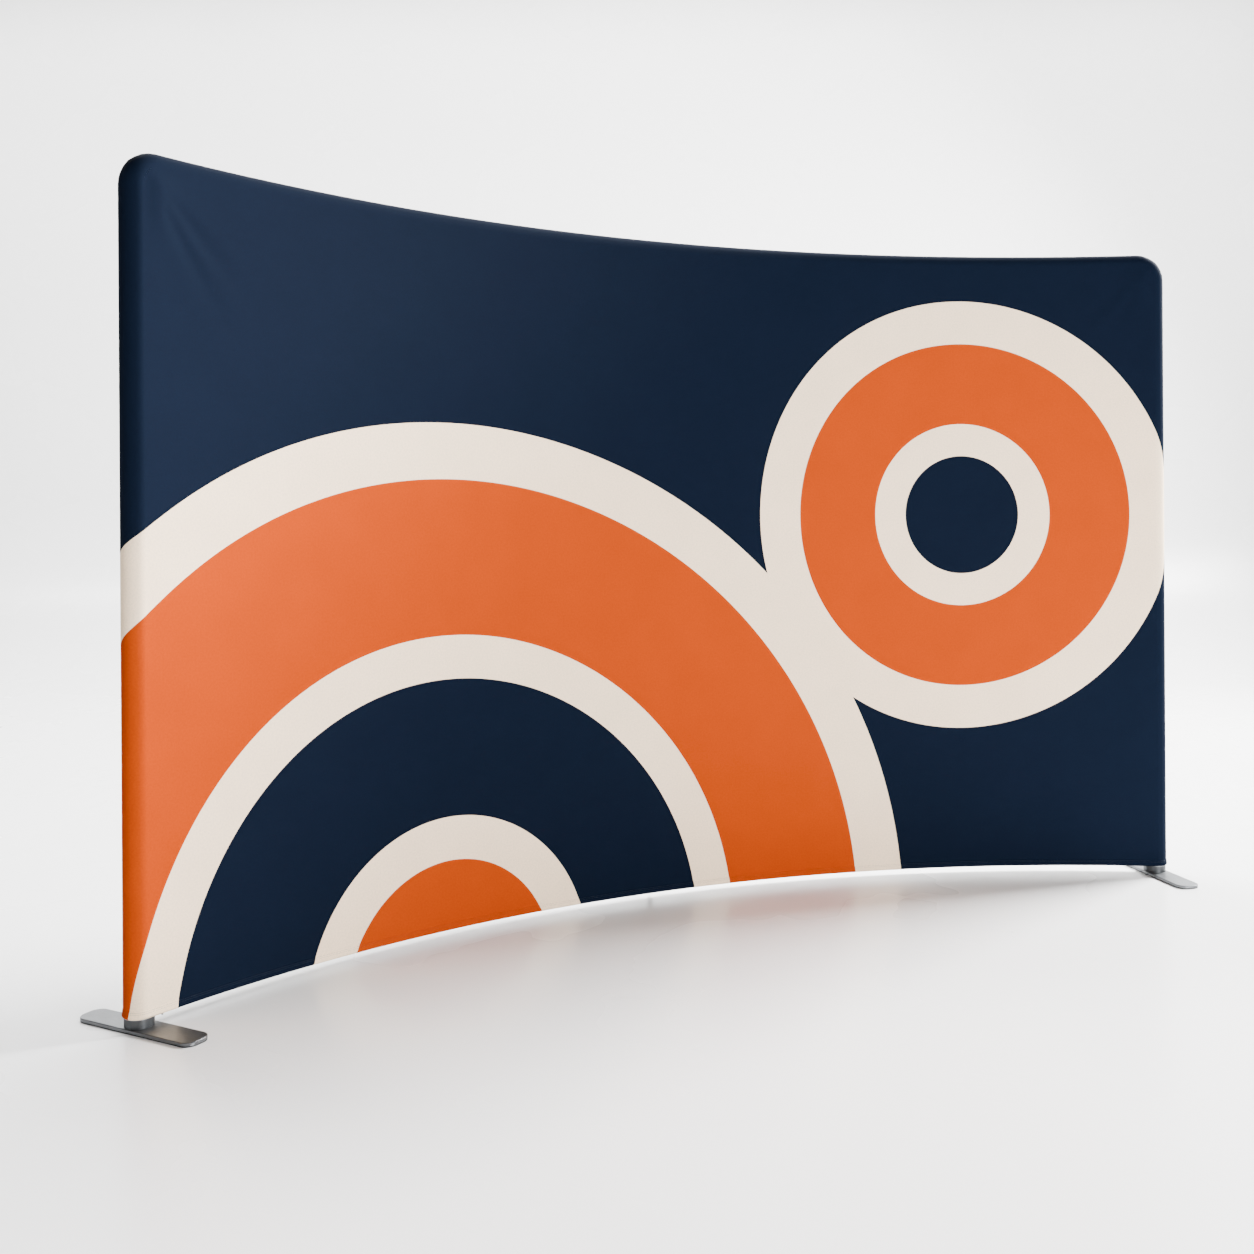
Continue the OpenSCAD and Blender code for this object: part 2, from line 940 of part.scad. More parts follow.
module stay_tip() {
    color([0.08, 0.08, 0.09])
        at_bearing(0)
            translate([0, stay_reach, 0])
                difference() {
                    union() {
                        cylinder(h = tip_floor, d = tip_d);
                        translate([0, 0, tip_floor])
                            cylinder(h = tip_height - tip_floor, d1 = tip_d, d2 = tip_d - tip_floor);
                    }
                    translate([0, 0, tip_floor])
                        cylinder(h = tip_height, d = stay_d + joint_gap);
                }
}

// A metal eyelet round the stay in the back panel
module back_eyelet() {
    color("silver")
        from_rail_back(cover_r + joint_gap)
            difference() {
                union() {
                    cylinder(h = eyelet_t, d = eyelet_flange_d);
                    translate([0, 0, -fabric])
                        cylinder(h = fabric, d = eyelet_barrel_d - 2 * joint_gap);
                }
                translate([0, 0, -2 * fabric])
                    cylinder(h = 4 * fabric + eyelet_t, d = stay_d + 2 * hole_gap);
            }
}

// ---- Nodes --------------------------------------------------------------------------------------

cover_front();
cover_back();
zip_half(LEFT);  // zip_front
zip_half(RIGHT);  // zip_back
zip_stops();
zip_slider();
zip_puller();
top_rail(1);  // top_rail_1
top_rail(2);  // top_rail_2
top_rail(3);  // top_rail_3
bottom_rail(1);  // bottom_rail_1
bottom_rail(2);  // bottom_rail_2
bottom_rail(3);  // bottom_rail_3
elbow(LEFT);  // elbow_left
elbow(RIGHT);  // elbow_right
post(LEFT, post_joint_z, elbow_z);  // post_upper_left
post(RIGHT, post_joint_z, elbow_z);  // post_upper_right
post(LEFT, tee_top_z, post_joint_z);  // post_lower_left
post(RIGHT, tee_top_z, post_joint_z);  // post_lower_right
tee(LEFT);  // tee_left
tee(RIGHT);  // tee_right
pole_upper();
pole_lower();
saddle(top_rail_z, DOWN);  // saddle_top
saddle(bottom_rail_z, UP);  // saddle_bottom
row_button(1, top_rail_z, DOWN);  // button_top_1
row_button(2, top_rail_z, DOWN);  // button_top_2
row_button(3, top_rail_z, DOWN);  // button_top_3
row_button(4, top_rail_z, DOWN);  // button_top_4
row_button(1, bottom_rail_z, UP);  // button_bottom_1
row_button(2, bottom_rail_z, UP);  // button_bottom_2
row_button(3, bottom_rail_z, UP);  // button_bottom_3
row_button(4, bottom_rail_z, UP);  // button_bottom_4
post_button(LEFT, elbow_z);  // button_elbow_left
post_button(RIGHT, elbow_z);  // button_elbow_right
post_button(LEFT, post_joint_z);  // button_post_left
post_button(RIGHT, post_joint_z);  // button_post_right
post_button(LEFT, tee_top_z);  // button_tee_left
post_button(RIGHT, tee_top_z);  // button_tee_right
pole_button();  // button_pole
foot_plate(LEFT);  // foot_plate_left
foot_pad(LEFT);  // foot_pad_left
foot_stem(LEFT);  // foot_stem_left
foot_screws(LEFT);  // foot_screws_left
foot_plate(RIGHT);  // foot_plate_right
foot_pad(RIGHT);  // foot_pad_right
foot_stem(RIGHT);  // foot_stem_right
foot_screws(RIGHT);  // foot_screws_right
stay_boss();
rear_stay();
stay_tip();
back_eyelet();
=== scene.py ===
"""Looks for a curved display wall: a printed stretch cover over a tube frame on two flat feet."""

import json
import math
from functools import partial

import bmesh
import bpy
import numpy as np
from bpy.props import FloatProperty, FloatVectorProperty, IntProperty, PointerProperty
from mathutils import Matrix, Vector


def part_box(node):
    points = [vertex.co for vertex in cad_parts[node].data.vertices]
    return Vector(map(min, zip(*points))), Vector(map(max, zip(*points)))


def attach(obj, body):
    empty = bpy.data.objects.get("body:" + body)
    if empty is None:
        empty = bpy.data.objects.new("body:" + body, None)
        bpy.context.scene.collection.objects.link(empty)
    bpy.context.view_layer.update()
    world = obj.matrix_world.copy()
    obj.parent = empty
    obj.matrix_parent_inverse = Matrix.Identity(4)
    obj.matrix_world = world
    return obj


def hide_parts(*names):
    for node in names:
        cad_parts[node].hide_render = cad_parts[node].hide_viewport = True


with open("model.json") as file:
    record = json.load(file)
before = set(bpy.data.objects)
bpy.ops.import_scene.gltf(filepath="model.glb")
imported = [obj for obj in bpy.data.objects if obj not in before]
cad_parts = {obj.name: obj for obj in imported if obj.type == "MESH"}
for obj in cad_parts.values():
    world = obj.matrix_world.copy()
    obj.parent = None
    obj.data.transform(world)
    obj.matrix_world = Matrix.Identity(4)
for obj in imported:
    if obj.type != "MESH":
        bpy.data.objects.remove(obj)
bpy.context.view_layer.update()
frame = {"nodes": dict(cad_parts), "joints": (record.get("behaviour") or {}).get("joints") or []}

bl_info = {
    "name": "Curved Display Wall",
    "version": (1, 0, 0),
    "blender": (4, 5, 0),
    "location": "3D View > Sidebar > Display Wall",
    "description": "Dresses a curved tube frame with its printed stretch cover and its stage",
    "category": "Object",
}

# The zip's slider turns about the centre of the wall's curve.
CURVE_CENTRE = Vector(next(joint["pos_m"] for joint in frame["joints"] if joint["name"] == "zip_travel"))
FRONT_LOW, FRONT_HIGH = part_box("cover_front")
EYELET_LOW, EYELET_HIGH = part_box("back_eyelet")


# ---- Sizes and colours that a user would change ----------


def length(label, note, default):
    return FloatProperty(name=label, description=note, default=default, unit="LENGTH", precision=4)


def angle(label, note, degrees):
    return FloatProperty(name=label, description=note, default=math.radians(degrees), subtype="ANGLE")


def dye(label, note, default):
    return FloatVectorProperty(
        name=label, description=note, default=srgb(default), subtype="COLOR", min=0, max=1
    )


def srgb(code):
    """A #rrggbb colour as linear red, green and blue."""
    parts = [int(code[i : i + 2], 16) / 255 for i in (1, 3, 5)]
    return tuple(c / 12.92 if c <= 0.04045 else ((c + 0.055) / 1.055) ** 2.4 for c in parts)


class WallSizes(bpy.types.PropertyGroup):
    curve_radius: length("Curve radius", "Radius of the wall's curve at the middle of its thickness", 3.5)
    run: length("Run", "Length along the curve between the two end posts", 3.79)
    elbow_radius: length("Corner radius", "Radius of the top corners at the middle of the tube", 0.057)
    half_thickness: length("Half thickness", "From the middle of the tube to the cover's outside", 0.0413)
    hem_height: length("Hem height", "Height of the turned hem", 0.024)
    hem_flare: length("Hem flare", "How far the hem stands out at its foot", 0.003)
    hem_round: length("Hem edge", "Radius of the hem's bottom edge", 0.008)
    zip_slot: length("Zip slot", "Width of the slot in the underside", 0.018)
    collar_hole: length("Collar hole", "Radius of the hole round the bottom corner piece", 0.0405)
    hem_fold: length("Hem fold", "How far the hem's double cloth stands out from the single cloth", 0.0006)
    seam_depth: length("Seam depth", "Depth of the groove where the back panel is sewn in", 0.0012)
    stitch: length("Stitch", "Length of a stitch and the gap after it", 0.005)
    thread: length("Thread", "Thickness of the sewing thread", 0.0006)
    step: length("Mesh step", "Size of the cover's mesh cells", 0.02)


class WallColours(bpy.types.PropertyGroup):
    navy: dye("Navy", "Dark dye of the print", "#0a1220")
    orange: dye("Orange", "Bright dye of the print", "#a23800")
    cream: dye("Cream", "Pale dye of the print", "#f4dabb")
    back: dye("Back", "Unprinted back panel", "#b4b1ac")
    steel: dye("Steel", "Foot plates and rear stay", "#66686a")
    # The collars' colour is darker than the steel: painted shade for the shadow under the cloth.
    collar_painted_shade: dye("Collar", "Turned collars over the feet", "#4c4e50")


class StageSettings(bpy.types.PropertyGroup):
    focal_length: FloatProperty(
        name="Focal length", description="Lens for a 36 mm wide sensor", default=37.85, unit="CAMERA"
    )
    shift: FloatProperty(name="Shift", description="Upright shift of the view", default=-0.0825)
    eye_height: length("Eye height", "Height of the camera over the floor", 1.3343)
    eye_x: length("Eye X", "Camera to the right of the centre of the curve", -2.0547)
    eye_y: length("Eye Y", "Camera towards the wall from the centre of the curve", -0.7283)
    eye_turn: angle("Eye turn", "Turn of the camera from straight at the wall to the right", 24.26)
    eye_roll: angle("Eye roll", "Lean of the camera to the right", 0.356)
    cyclorama: length("Backdrop distance", "From the camera to where the floor turns up", 10.4)
    segments: IntProperty(name="Bend segments", description="Steps in the backdrop's bend", default=24)


# ---- The wall's shape ------------------------------------

# Tension creases in the cloth, from an end (-1 left) at the top (1) or bottom (-1): slope down from
# level in degrees, start from the corner, reach, width and depth in metres
CREASES = [
    (-1, 1, 36, 0.05, 0.40, 0.024, -0.0010),
    (-1, 1, 45, 0.06, 0.50, 0.019, 0.0012),
    (-1, 1, 52, 0.05, 0.46, 0.018, -0.0013),
    (-1, 1, 59, 0.06, 0.54, 0.017, 0.0011),
    (-1, 1, 68, 0.05, 0.40, 0.024, -0.0009),
    (1, 1, 38, 0.05, 0.44, 0.023, 0.0009),
    (1, 1, 48, 0.06, 0.48, 0.020, -0.0011),
    (1, 1, 58, 0.05, 0.42, 0.022, 0.0008),
    (-1, -1, 24, 0.06, 0.34, 0.020, 0.0006),
    (-1, -1, 38, 0.06, 0.30, 0.020, -0.0006),
    (1, -1, 28, 0.06, 0.34, 0.020, 0.0006),
    (1, -1, 44, 0.06, 0.28, 0.020, -0.0005),
]

EDGE_BLEND = 0.06  # width of the band in which the creases die out towards the tubes
CREASED_ZONE = 0.45  # from a corner to where its creases have died out
SEAM_SPREAD = 0.0018  # how far the seam's groove reaches to each side
SEAM_LINES = np.array([0.0034, 0.0018, 0.0009])  # mesh lines that draw the groove
FOLD_RISE = 0.001  # height over which the hem's second layer of cloth stands out
# Dent beside a top corner: depth, its middle in from the end and down from the top, its two spreads
DENT = (0.005, 0.035, 0.03, 0.06, 0.12)
# Gathers on the outside of a bend: height as a share of its radius, waves to a radian, start
RIDGES = (0.018, 9, 1.1)
ROUND_LINES, BEFORE_SEAM = 17, 0.14  # mesh lines round a tube, and the turn left for the seam's own


class Wall:
    """The cover's outer surface, as places along the run, round the edges and down the hem."""

    def __init__(self, sizes):
        self.radius = sizes.curve_radius
        self.half_run = sizes.run / 2
        self.elbow = sizes.elbow_radius
        self.half = sizes.half_thickness
        self.straight = self.half_run - self.elbow
        self.top = FRONT_HIGH.z - self.half
        self.elbow_z = self.top - self.elbow
        self.floor_gap = FRONT_LOW.z
        self.hem_top = self.floor_gap + sizes.hem_height
        self.flared = self.half + sizes.hem_flare
        self.edge = sizes.hem_round
        self.bevel = self.hem_top - self.floor_gap - self.edge
        self.flare = math.hypot(self.bevel, self.flared - self.half)
        self.bend = self.edge * math.pi / 2
        self.slot = sizes.zip_slot / 2
        self.hole = sizes.collar_hole
        self.fold = sizes.hem_fold
        self.seam = sizes.seam_depth
        self.step = sizes.step

    def placed(self, run, stand, height, beyond=0.0):
        """Points past a place on the wall's middle line by beyond, behind it by stand, and up by height."""
        inner = np.clip(run, -self.straight, self.straight)
        bearing = inner / self.radius
        level = np.zeros_like(bearing)
        out = np.stack([np.sin(bearing), np.cos(bearing), level], -1)
        way = np.stack([np.cos(bearing), -np.sin(bearing), level], -1)
        point = np.array([CURVE_CENTRE.x, CURVE_CENTRE.y, 0.0]) + self.radius * out
        point = point + (run - inner + beyond)[..., None] * way + stand[..., None] * out
        point[..., 2] += height
        return point

    def tension(self, run, height):
        """How far the stretched cloth stands in or out: creases that fan from the corners, broad waves."""
        # Broad waves under a millimetre deep, a metre or two long.
        lift = 0.0008 * np.sin(run * 2.1 + 0.7) * np.sin(height * 2.6 + 0.4)
        lift += 0.0005 * np.sin(run * 5.3 + height * 1.9) * np.sin(height * 3.7 - run * 1.1 + 2)
        for end, level, slope, start, reach, width, depth in CREASES:
            x = self.half_run - end * run
            z = (self.top - height) if level > 0 else (height - self.floor_gap)
            slope = math.radians(slope)
            along = x * math.cos(slope) + z * math.sin(slope) - start
            across = z * math.cos(slope) - x * math.sin(slope)
            across = across + 0.08 * along * along  # a crease curves as it runs out
            # It rises over the first fifth of its reach and dies out over most of the rest.
            fade = np.clip(along / (0.22 * reach), 0, 1) * np.clip((reach - along) / (0.7 * reach), 0, 1)
            profile = np.exp(-((across / (width * (1 + along))) ** 2))
            lift += depth * fade * fade * (3 - 2 * fade) * profile
        # The cloth bridges each top corner a little and sinks in beside it.
        depth, inward, down, breadth, drop = DENT
        beside = (self.half_run - np.abs(run) - inward) / breadth
        below = (self.top - height - down) / drop
        return lift - depth * np.exp(-(beside**2) - below**2)

    def panel(self, side):
        """The front (-1) or back (1) face."""

        def place(run, height):
            stand = self.half + side * self.tension(run, height) * self.inland(run, height)
            if side > 0:
                stand = stand - self.groove(self.to_seam(run, height))
            return self.placed(run, side * stand, height), np.stack([run, height], -1)

        return place

    def to_seam(self, run, height):
        """Distance in from the seam that runs up both sides of the back and over its top."""
        x = np.abs(run) - self.straight
        z = height - self.elbow_z
        corner = np.hypot(np.clip(x, 0, None), np.clip(z, 0, None))
        return self.elbow - np.where((x > 0) & (z > 0), corner, np.maximum(x, z))

    def groove(self, distance):
        """Depth of the seam's groove at a distance from the seam."""
        return self.seam * np.exp(-((distance / SEAM_SPREAD) ** 2))

    def inland(self, run, height):
        """0 where the face meets the tubes' round and 1 in the open cloth."""
        x = self.half_run - np.abs(run)
        z = np.minimum(self.top - height, height - self.hem_top)
        near = np.clip(np.minimum(x, z) / EDGE_BLEND, 0, 1)
        return near * near * (3 - 2 * near)

    def corner(self, side, end):
        """The face inside a top corner's bend, as a patch whose two far edges lie on the bend."""
        panel = self.panel(side)

        def place(a, b):
            low, high = np.radians(45) * b, np.radians(90) - np.radians(45) * a
            far = a * b * math.sqrt(0.5)
            across = self.elbow * (a * np.cos(low) + b * np.cos(high) - far)
            up = self.elbow * (a * np.sin(low) + b * np.sin(high) - far)
            return panel(end * (self.straight + across), self.elbow_z + up)

        return place

    def fan(self, side, end):
        """The face inside a top corner's bend, by bend and distance from the bend's middle."""
        panel = self.panel(side)

        def place(bend, out):
            return panel(end * (self.straight + out * np.cos(bend)), self.elbow_z + out * np.sin(bend))

        return place

    def top_round(self, run, turn):
        """Round the top rail: turn runs from the front to the back."""
        stand = self.wrap(turn)
        point = self.placed(run, -stand * np.cos(turn), self.top + stand * np.sin(turn))
        return point, np.stack([run, self.top + self.half * turn], -1)

    def wrap(self, turn):
        """Stand-off of the cloth round a tube, which dips into the seam at the back."""
        return self.half - self.groove(self.half * (math.pi - turn))

    def turns(self):
        """Steps round a tube, close together beside the seam."""
        even = np.linspace(0, math.pi - BEFORE_SEAM, ROUND_LINES)
        return np.concatenate([even, math.pi - SEAM_LINES / self.half, [math.pi]])

    def corner_round(self, end):
        """Round the tube's bend at a top corner: bend runs from 0 at the side to 90 degrees on top."""

        def place(bend, turn):
            middle = np.full_like(bend, end * self.straight)
            stand = self.wrap(turn)
            reach = self.elbow + stand * np.sin(turn) * self.slack(bend, turn)
            beyond, up = end * reach * np.cos(bend), self.elbow_z + reach * np.sin(bend)
            fan = self.elbow + self.half * turn
            run, height = end * (self.straight + fan * np.cos(bend)), self.elbow_z + fan * np.sin(bend)
            return self.placed(middle, -stand * np.cos(turn), up, beyond), np.stack([run, height], -1)

        return place

    @staticmethod
    def slack(bend, turn):
        """Cloth gathered on the outside of a bend stands in small soft ridges."""
        height, waves, start = RIDGES
        return 1 + height * np.sin(2 * bend) ** 2 * np.sin(turn) * np.sin(waves * bend + start)

    def round_post(self, end, turn, stand, height):
        """Points round an end post, where turn runs from the front to the back, with the cloth's run."""
        post = np.full_like(turn, end * self.half_run)
        point = self.placed(post, -stand * np.cos(turn), height, end * stand * np.sin(turn))
        return point, end * (self.half_run + self.half * turn)

    def side_round(self, end):
        """The cover round an end post."""

        def place(height, turn):
            point, run = self.round_post(end, turn, self.wrap(turn), height)
            return point, np.stack([run, height], -1)

        return place

    def hem(self, depth):
        """Stand-off and height at a depth down the hem: out over the flare, round the edge, then in."""
        down = np.clip(depth / self.flare, 0, 1)
        round_edge = np.clip((depth - self.flare) / self.bend, 0, 1) * math.pi / 2
        inward = np.clip(depth - self.flare - self.bend, 0, None)
        stand = self.half + self.fold + (self.flared - self.half - self.fold) * down
        stand = stand - self.fold * np.clip(1 - depth / FOLD_RISE, 0, 1) ** 2
        stand = stand - self.edge * (1 - np.cos(round_edge)) - inward
        return stand, self.hem_top - self.bevel * down - self.edge * np.sin(round_edge)

    def hem_depths(self):
        """Mesh lines down the hem: its fold, its flare, its round edge and the web to the zip."""
        turned = self.flare + self.bend
        web = turned + self.flared - self.edge - self.slot
        fold = [0, FOLD_RISE / 2, FOLD_RISE]
        flare = np.linspace(0, self.flare, 4)[1:]
        edge = self.flare + np.linspace(0, self.bend, 7)[1:]
        return np.concatenate([fold, flare, edge, np.linspace(turned, web, 4)[1:]])

    def hem_limit(self, run):
        """How deep the hem goes before it meets the zip, or the hole round a bottom corner piece."""
        across = self.half_run - np.abs(run)
        gap = np.sqrt(np.clip(self.hole**2 - across**2, 0, None))
        inner = np.maximum(self.slot, gap)
        foot = self.flared - self.edge
        flat = self.flare + self.bend + np.clip(foot - inner, 0, None)
        lean = np.clip((inner - foot) / self.edge, 0, 1)
        steep = self.flare + self.edge * np.arcsin(np.sqrt(1 - lean**2))
        return np.where(inner > foot, steep, flat)

    def hem_face(self, side):
        """The hem along the front (-1) or the back (1)."""

        def place(run, depth):
            depth = np.minimum(depth, self.hem_limit(run))
            stand, height = self.hem(depth)
            return self.placed(run, side * stand, height), np.stack([run, self.hem_top - depth], -1)

        return place

    def hem_round(self, end):
        """The hem round an end post."""

        def place(turn, depth):
            depth = np.minimum(depth, self.hem_limit(np.full_like(turn, self.half_run)))
            point, run = self.round_post(end, turn, *self.hem(depth))
            return point, np.stack([run, self.hem_top - depth], -1)

        return place

    def lines(self, low, high, both=True):
        """Places for mesh lines, three times as close where a corner's creases cross them."""
        last = high - CREASED_ZONE
        first = low + CREASED_ZONE if both else low
        parts = [(last, high, self.step / 3), (first, last, self.step)]
        if both:
            parts.append((low, first, self.step / 3))
        places = [np.linspace(a, b, round((b - a) / step) + 1) for a, b, step in parts]
        return np.unique(np.concatenate(places))

    def rows(self):
        """Mesh lines up the wall, with one close to the hem so that its fold shades as a crisp line."""
        rows = self.lines(self.hem_top, self.elbow_z, both=False)
        return np.union1d(rows, [self.hem_top + self.fold])


# ---- The print -------------------------------------------

NAVY, ORANGE, CREAM = 0, 1, 2

# Rings laid one over the other, the first one lowest: dye, middle along the run and up the wall, radius
RINGS = [
    (CREAM, -0.86, -0.12, 1.78),
    (ORANGE, -0.86, -0.12, 1.60),
    (CREAM, -0.86, -0.12, 1.10),
    (NAVY, -0.86, -0.12, 0.96),
    (CREAM, -0.86, -0.12, 0.52),
    (ORANGE, -0.86, -0.12, 0.38),
    (CREAM, 1.16, 1.36, 0.80),
    (ORANGE, 1.16, 1.36, 0.64),
    (CREAM, 1.16, 1.36, 0.34),
    (NAVY, 1.16, 1.36, 0.22),
]


def ring_field(ring):
    """Distance out of a ring's edge, below zero inside it."""
    _, run, height, radius = ring
    return lambda at: np.hypot(at[..., 0] - run, at[..., 1] - height) - radius


def dye_at(at):
    """The dye on top at places on the print."""
    chosen = np.full(at.shape[:-1], NAVY)
    for ring in RINGS:
        chosen = np.where(ring_field(ring)(at) < 0, ring[0], chosen)
    return chosen


HALVINGS = 24  # steps in which a cut closes in on a dye's edge
WELD = 2e-5  # points of neighbouring patches that lie closer than this are one
NORMAL_STEP = 1e-4  # how far to each side the surface is measured for its normal


class Patch:
    """A grid of cells in two places a and b, that place() puts in space and on the print."""

    def __init__(self, place, a, b, flip=False):
        self.place = place
        self.flip = flip
        grid = np.stack(np.meshgrid(a, b, indexing="ij"), -1)
        self.at = grid.reshape(-1, 2)
        index = np.arange(len(self.at)).reshape(grid.shape[:2])
        corners = [index[:-1, :-1], index[1:, :-1], index[1:, 1:], index[:-1, 1:]]
        self.quads = np.stack(corners, -1).reshape(-1, 4)
        self.cells = []

    def printed(self, at):
        """Where places on the patch lie on the print."""
        return self.place(at[..., 0], at[..., 1])[1]

    def cut(self, field):
        """Splits the cells along the line where a field on the print is zero."""
        value = field(self.printed(self.at))
        inside = value < 0
        state = inside[self.quads]
        crossed = state.any(1) & ~state.all(1)
        self.cells += self.quads[crossed].tolist()
        self.quads = self.quads[~crossed]
        pairs = {}
        for cell in self.cells:
            for one, other in zip(cell, cell[1:] + cell[:1]):
                if inside[one] != inside[other]:
                    pairs.setdefault((min(one, other), max(one, other)), len(self.at) + len(pairs))
        if not pairs:
            return
        ends = np.array(list(pairs))
        near, far = self.at[ends[:, 0]], self.at[ends[:, 1]]
        near_in = inside[ends[:, 0]]
        low, high = np.zeros(len(ends)), np.ones(len(ends))
        for _ in range(HALVINGS):
            mid = (low + high) / 2
            same = (field(self.printed(near + (far - near) * mid[:, None])) < 0) == near_in
            low, high = np.where(same, mid, low), np.where(same, high, mid)
        self.at = np.concatenate([self.at, near + (far - near) * low[:, None]])
        cells = []
        for cell in self.cells:
            kept, rest = [], []
            for one, other in zip(cell, cell[1:] + cell[:1]):
                (kept if inside[one] else rest).append(one)
                if inside[one] != inside[other]:
                    crossing = pairs[(min(one, other), max(one, other))]
                    kept.append(crossing)
                    rest.append(crossing)
            cells += [part for part in (kept, rest) if len(part) > 2]
        self.cells = cells

    def drop(self, field):
        """Cuts out the part of the cloth where a field on the print is below zero."""
        self.cut(field)
        quads, cells = (field(self.printed(middles)) > 0 for middles in self.middles())
        self.quads = self.quads[quads]
        self.cells = [cell for cell, kept in zip(self.cells, cells) if kept]

    def middles(self):
        """Middles of the whole cells and of the cut ones."""
        cut = [self.at[cell].mean(0) for cell in self.cells]
        return self.at[self.quads].mean(1), np.array(cut).reshape(-1, 2)

    def facing(self, at):
        """The surface's own normals, so that cut cells still shade as one smooth cloth."""
        normal = upright(self.place, at)
        return -normal if self.flip else normal


def upright(place, at):
    """Unit normals of a placed surface."""
    a, b = at[:, 0], at[:, 1]
    across = place(a + NORMAL_STEP, b)[0] - place(a - NORMAL_STEP, b)[0]
    upward = place(a, b + NORMAL_STEP)[0] - place(a, b - NORMAL_STEP)[0]
    normal = np.cross(across, upward)
    size = np.linalg.norm(normal, axis=1, keepdims=True)
    return normal / np.where(size > 0, size, 1)


def show(name, data):
    """A new object in the scene for a mesh, a light or a camera."""
    made = bpy.data.objects.new(name, data)
    bpy.context.scene.collection.objects.link(made)
    return made


def smooth(mesh):
    """Shades a mesh as one smooth surface."""
    mesh.polygons.foreach_set("use_smooth", np.ones(len(mesh.polygons), bool))


def sew(name, patches, materials, dyes=None):
    """Joins patches into one cloth, with a material slot for each dye."""
    mesh = bpy.data.meshes.new(name)
    points, facing, cloth, faces, slots = [], [], [], [], []
    start = 0
    for patch in patches:
        place, printed = patch.place(patch.at[:, 0], patch.at[:, 1])
        points.append(place)
        facing.append(patch.facing(patch.at))
        cloth.append(printed)
        middles = np.concatenate(patch.middles())
        slots.append(dyes(patch.printed(middles)) if dyes else np.zeros(len(middles), int))
        for cell in patch.quads.tolist() + patch.cells:
            loop = cell[::-1] if patch.flip else cell
            faces.append([start + corner for corner in loop])
        start += len(patch.at)
    points, facing, cloth = (np.concatenate(part) for part in (points, facing, cloth))
    mesh.from_pydata(points.tolist(), [], faces)
    # The surface's own normals go through the welding as an attribute.
    mesh.attributes.new("facing", "FLOAT_VECTOR", "POINT").data.foreach_set("vector", facing.ravel())
    mesh.polygons.foreach_set("material_index", np.concatenate(slots).astype(np.int32))
    layout = mesh.uv_layers.new(name="cloth")
    corner = np.zeros(len(mesh.loops), np.int32)
    mesh.loops.foreach_get("vertex_index", corner)
    layout.data.foreach_set("uv", cloth[corner].ravel())
    for material in materials:
        mesh.materials.append(material)
    shell = bmesh.new()
    shell.from_mesh(mesh)
    bmesh.ops.remove_doubles(shell, verts=shell.verts, dist=WELD)
    bmesh.ops.dissolve_degenerate(shell, dist=1e-6, edges=shell.edges)
    shell.to_mesh(mesh)
    shell.free()
    smooth(mesh)
    kept = np.zeros(len(mesh.vertices) * 3, np.float32)
    mesh.attributes["facing"].data.foreach_get("vector", kept)
    mesh.normals_split_custom_set_from_vertices(kept.reshape(-1, 3).tolist())
    mesh.attributes.remove(mesh.attributes["facing"])
    return show(name, mesh)


HEM_STITCHES = (0.0035, 0.0085)  # depths of the twin row down the hem
SEAM_STITCHES = 0.005  # how far inside the back panel's seam its row lies
STITCH_LEAD, STITCH_SHARE = 0.14, 0.72  # where a stitch starts in its step, and how much of it shows
SHOULDERS = (0.22, 0.78)  # where along a stitch its full thickness starts and ends
TIP, SOLE, CREST = -0.4, -0.6, 1.1  # heights of a stitch over the cloth, in half threads


def stitch_row(sizes, place, a, b, outward):
    """Points of one row of stitches on a surface: a lozenge of thread from each start to each end."""
    ends = np.stack(np.broadcast_arrays(a, b), -1)
    first, last = (place(end[:, 0], end[:, 1])[0] for end in ends)
    rise = upright(place, ends.mean(0)) * outward
    way = (last - first) / np.linalg.norm(last - first, axis=1, keepdims=True)
    side = np.cross(way, rise)
    half = sizes.thread / 2
    rings = [first + rise * half * TIP]
    for share in SHOULDERS:
        base = first + (last - first) * share
        crest, sole = base + rise * half * CREST, base + rise * half * SOLE
        rings += [crest, base + side * half, sole, base - side * half]
    rings.append(last + rise * half * TIP)
    return np.stack(rings, 1)


# Corners of a stitch: its first tip 0, two rings of four 1 to 8, its last tip 9
STITCH_FACES = (
    [(0, 1 + (i + 1) % 4, 1 + i) for i in range(4)]
    + [(1 + i, 1 + (i + 1) % 4, 5 + (i + 1) % 4, 5 + i) for i in range(4)]
    + [(9, 5 + i, 5 + (i + 1) % 4) for i in range(4)]
)


def stitch_up(name, rows, material):
    """One object of many stitches."""
    points = np.concatenate(rows)
    faces = [tuple(10 * i + c for c in face) for i in range(len(points)) for face in STITCH_FACES]
    mesh = bpy.data.meshes.new(name)
    mesh.from_pydata(points.reshape(-1, 3).tolist(), [], faces)
    smooth(mesh)
    mesh.materials.append(material)
    return show(name, mesh)


def along(sizes, low, high, real):
    """Where the stitches of a row start and end, for a row of so many metres from low to high."""
    count = max(1, round(real / sizes.stitch))
    starts = low + (high - low) * (np.arange(count) + STITCH_LEAD) / count
    return np.array([starts, starts + (high - low) * STITCH_SHARE / count])


def hem_rows(wall, side, sizes):
    """The twin row of stitches along one face of the hem and, on the front, round both ends."""
    run = along(sizes, -wall.half_run, wall.half_run, 2 * wall.half_run)
    turn = along(sizes, 0, math.pi, math.pi * wall.half)
    rows = []
    for depth in HEM_STITCHES:
        rows.append(stitch_row(sizes, wall.hem_face(side), run, depth, side))
        if side < 0:
            rows += [stitch_row(sizes, wall.hem_round(tip), turn, depth, -tip) for tip in (-1, 1)]
    return rows


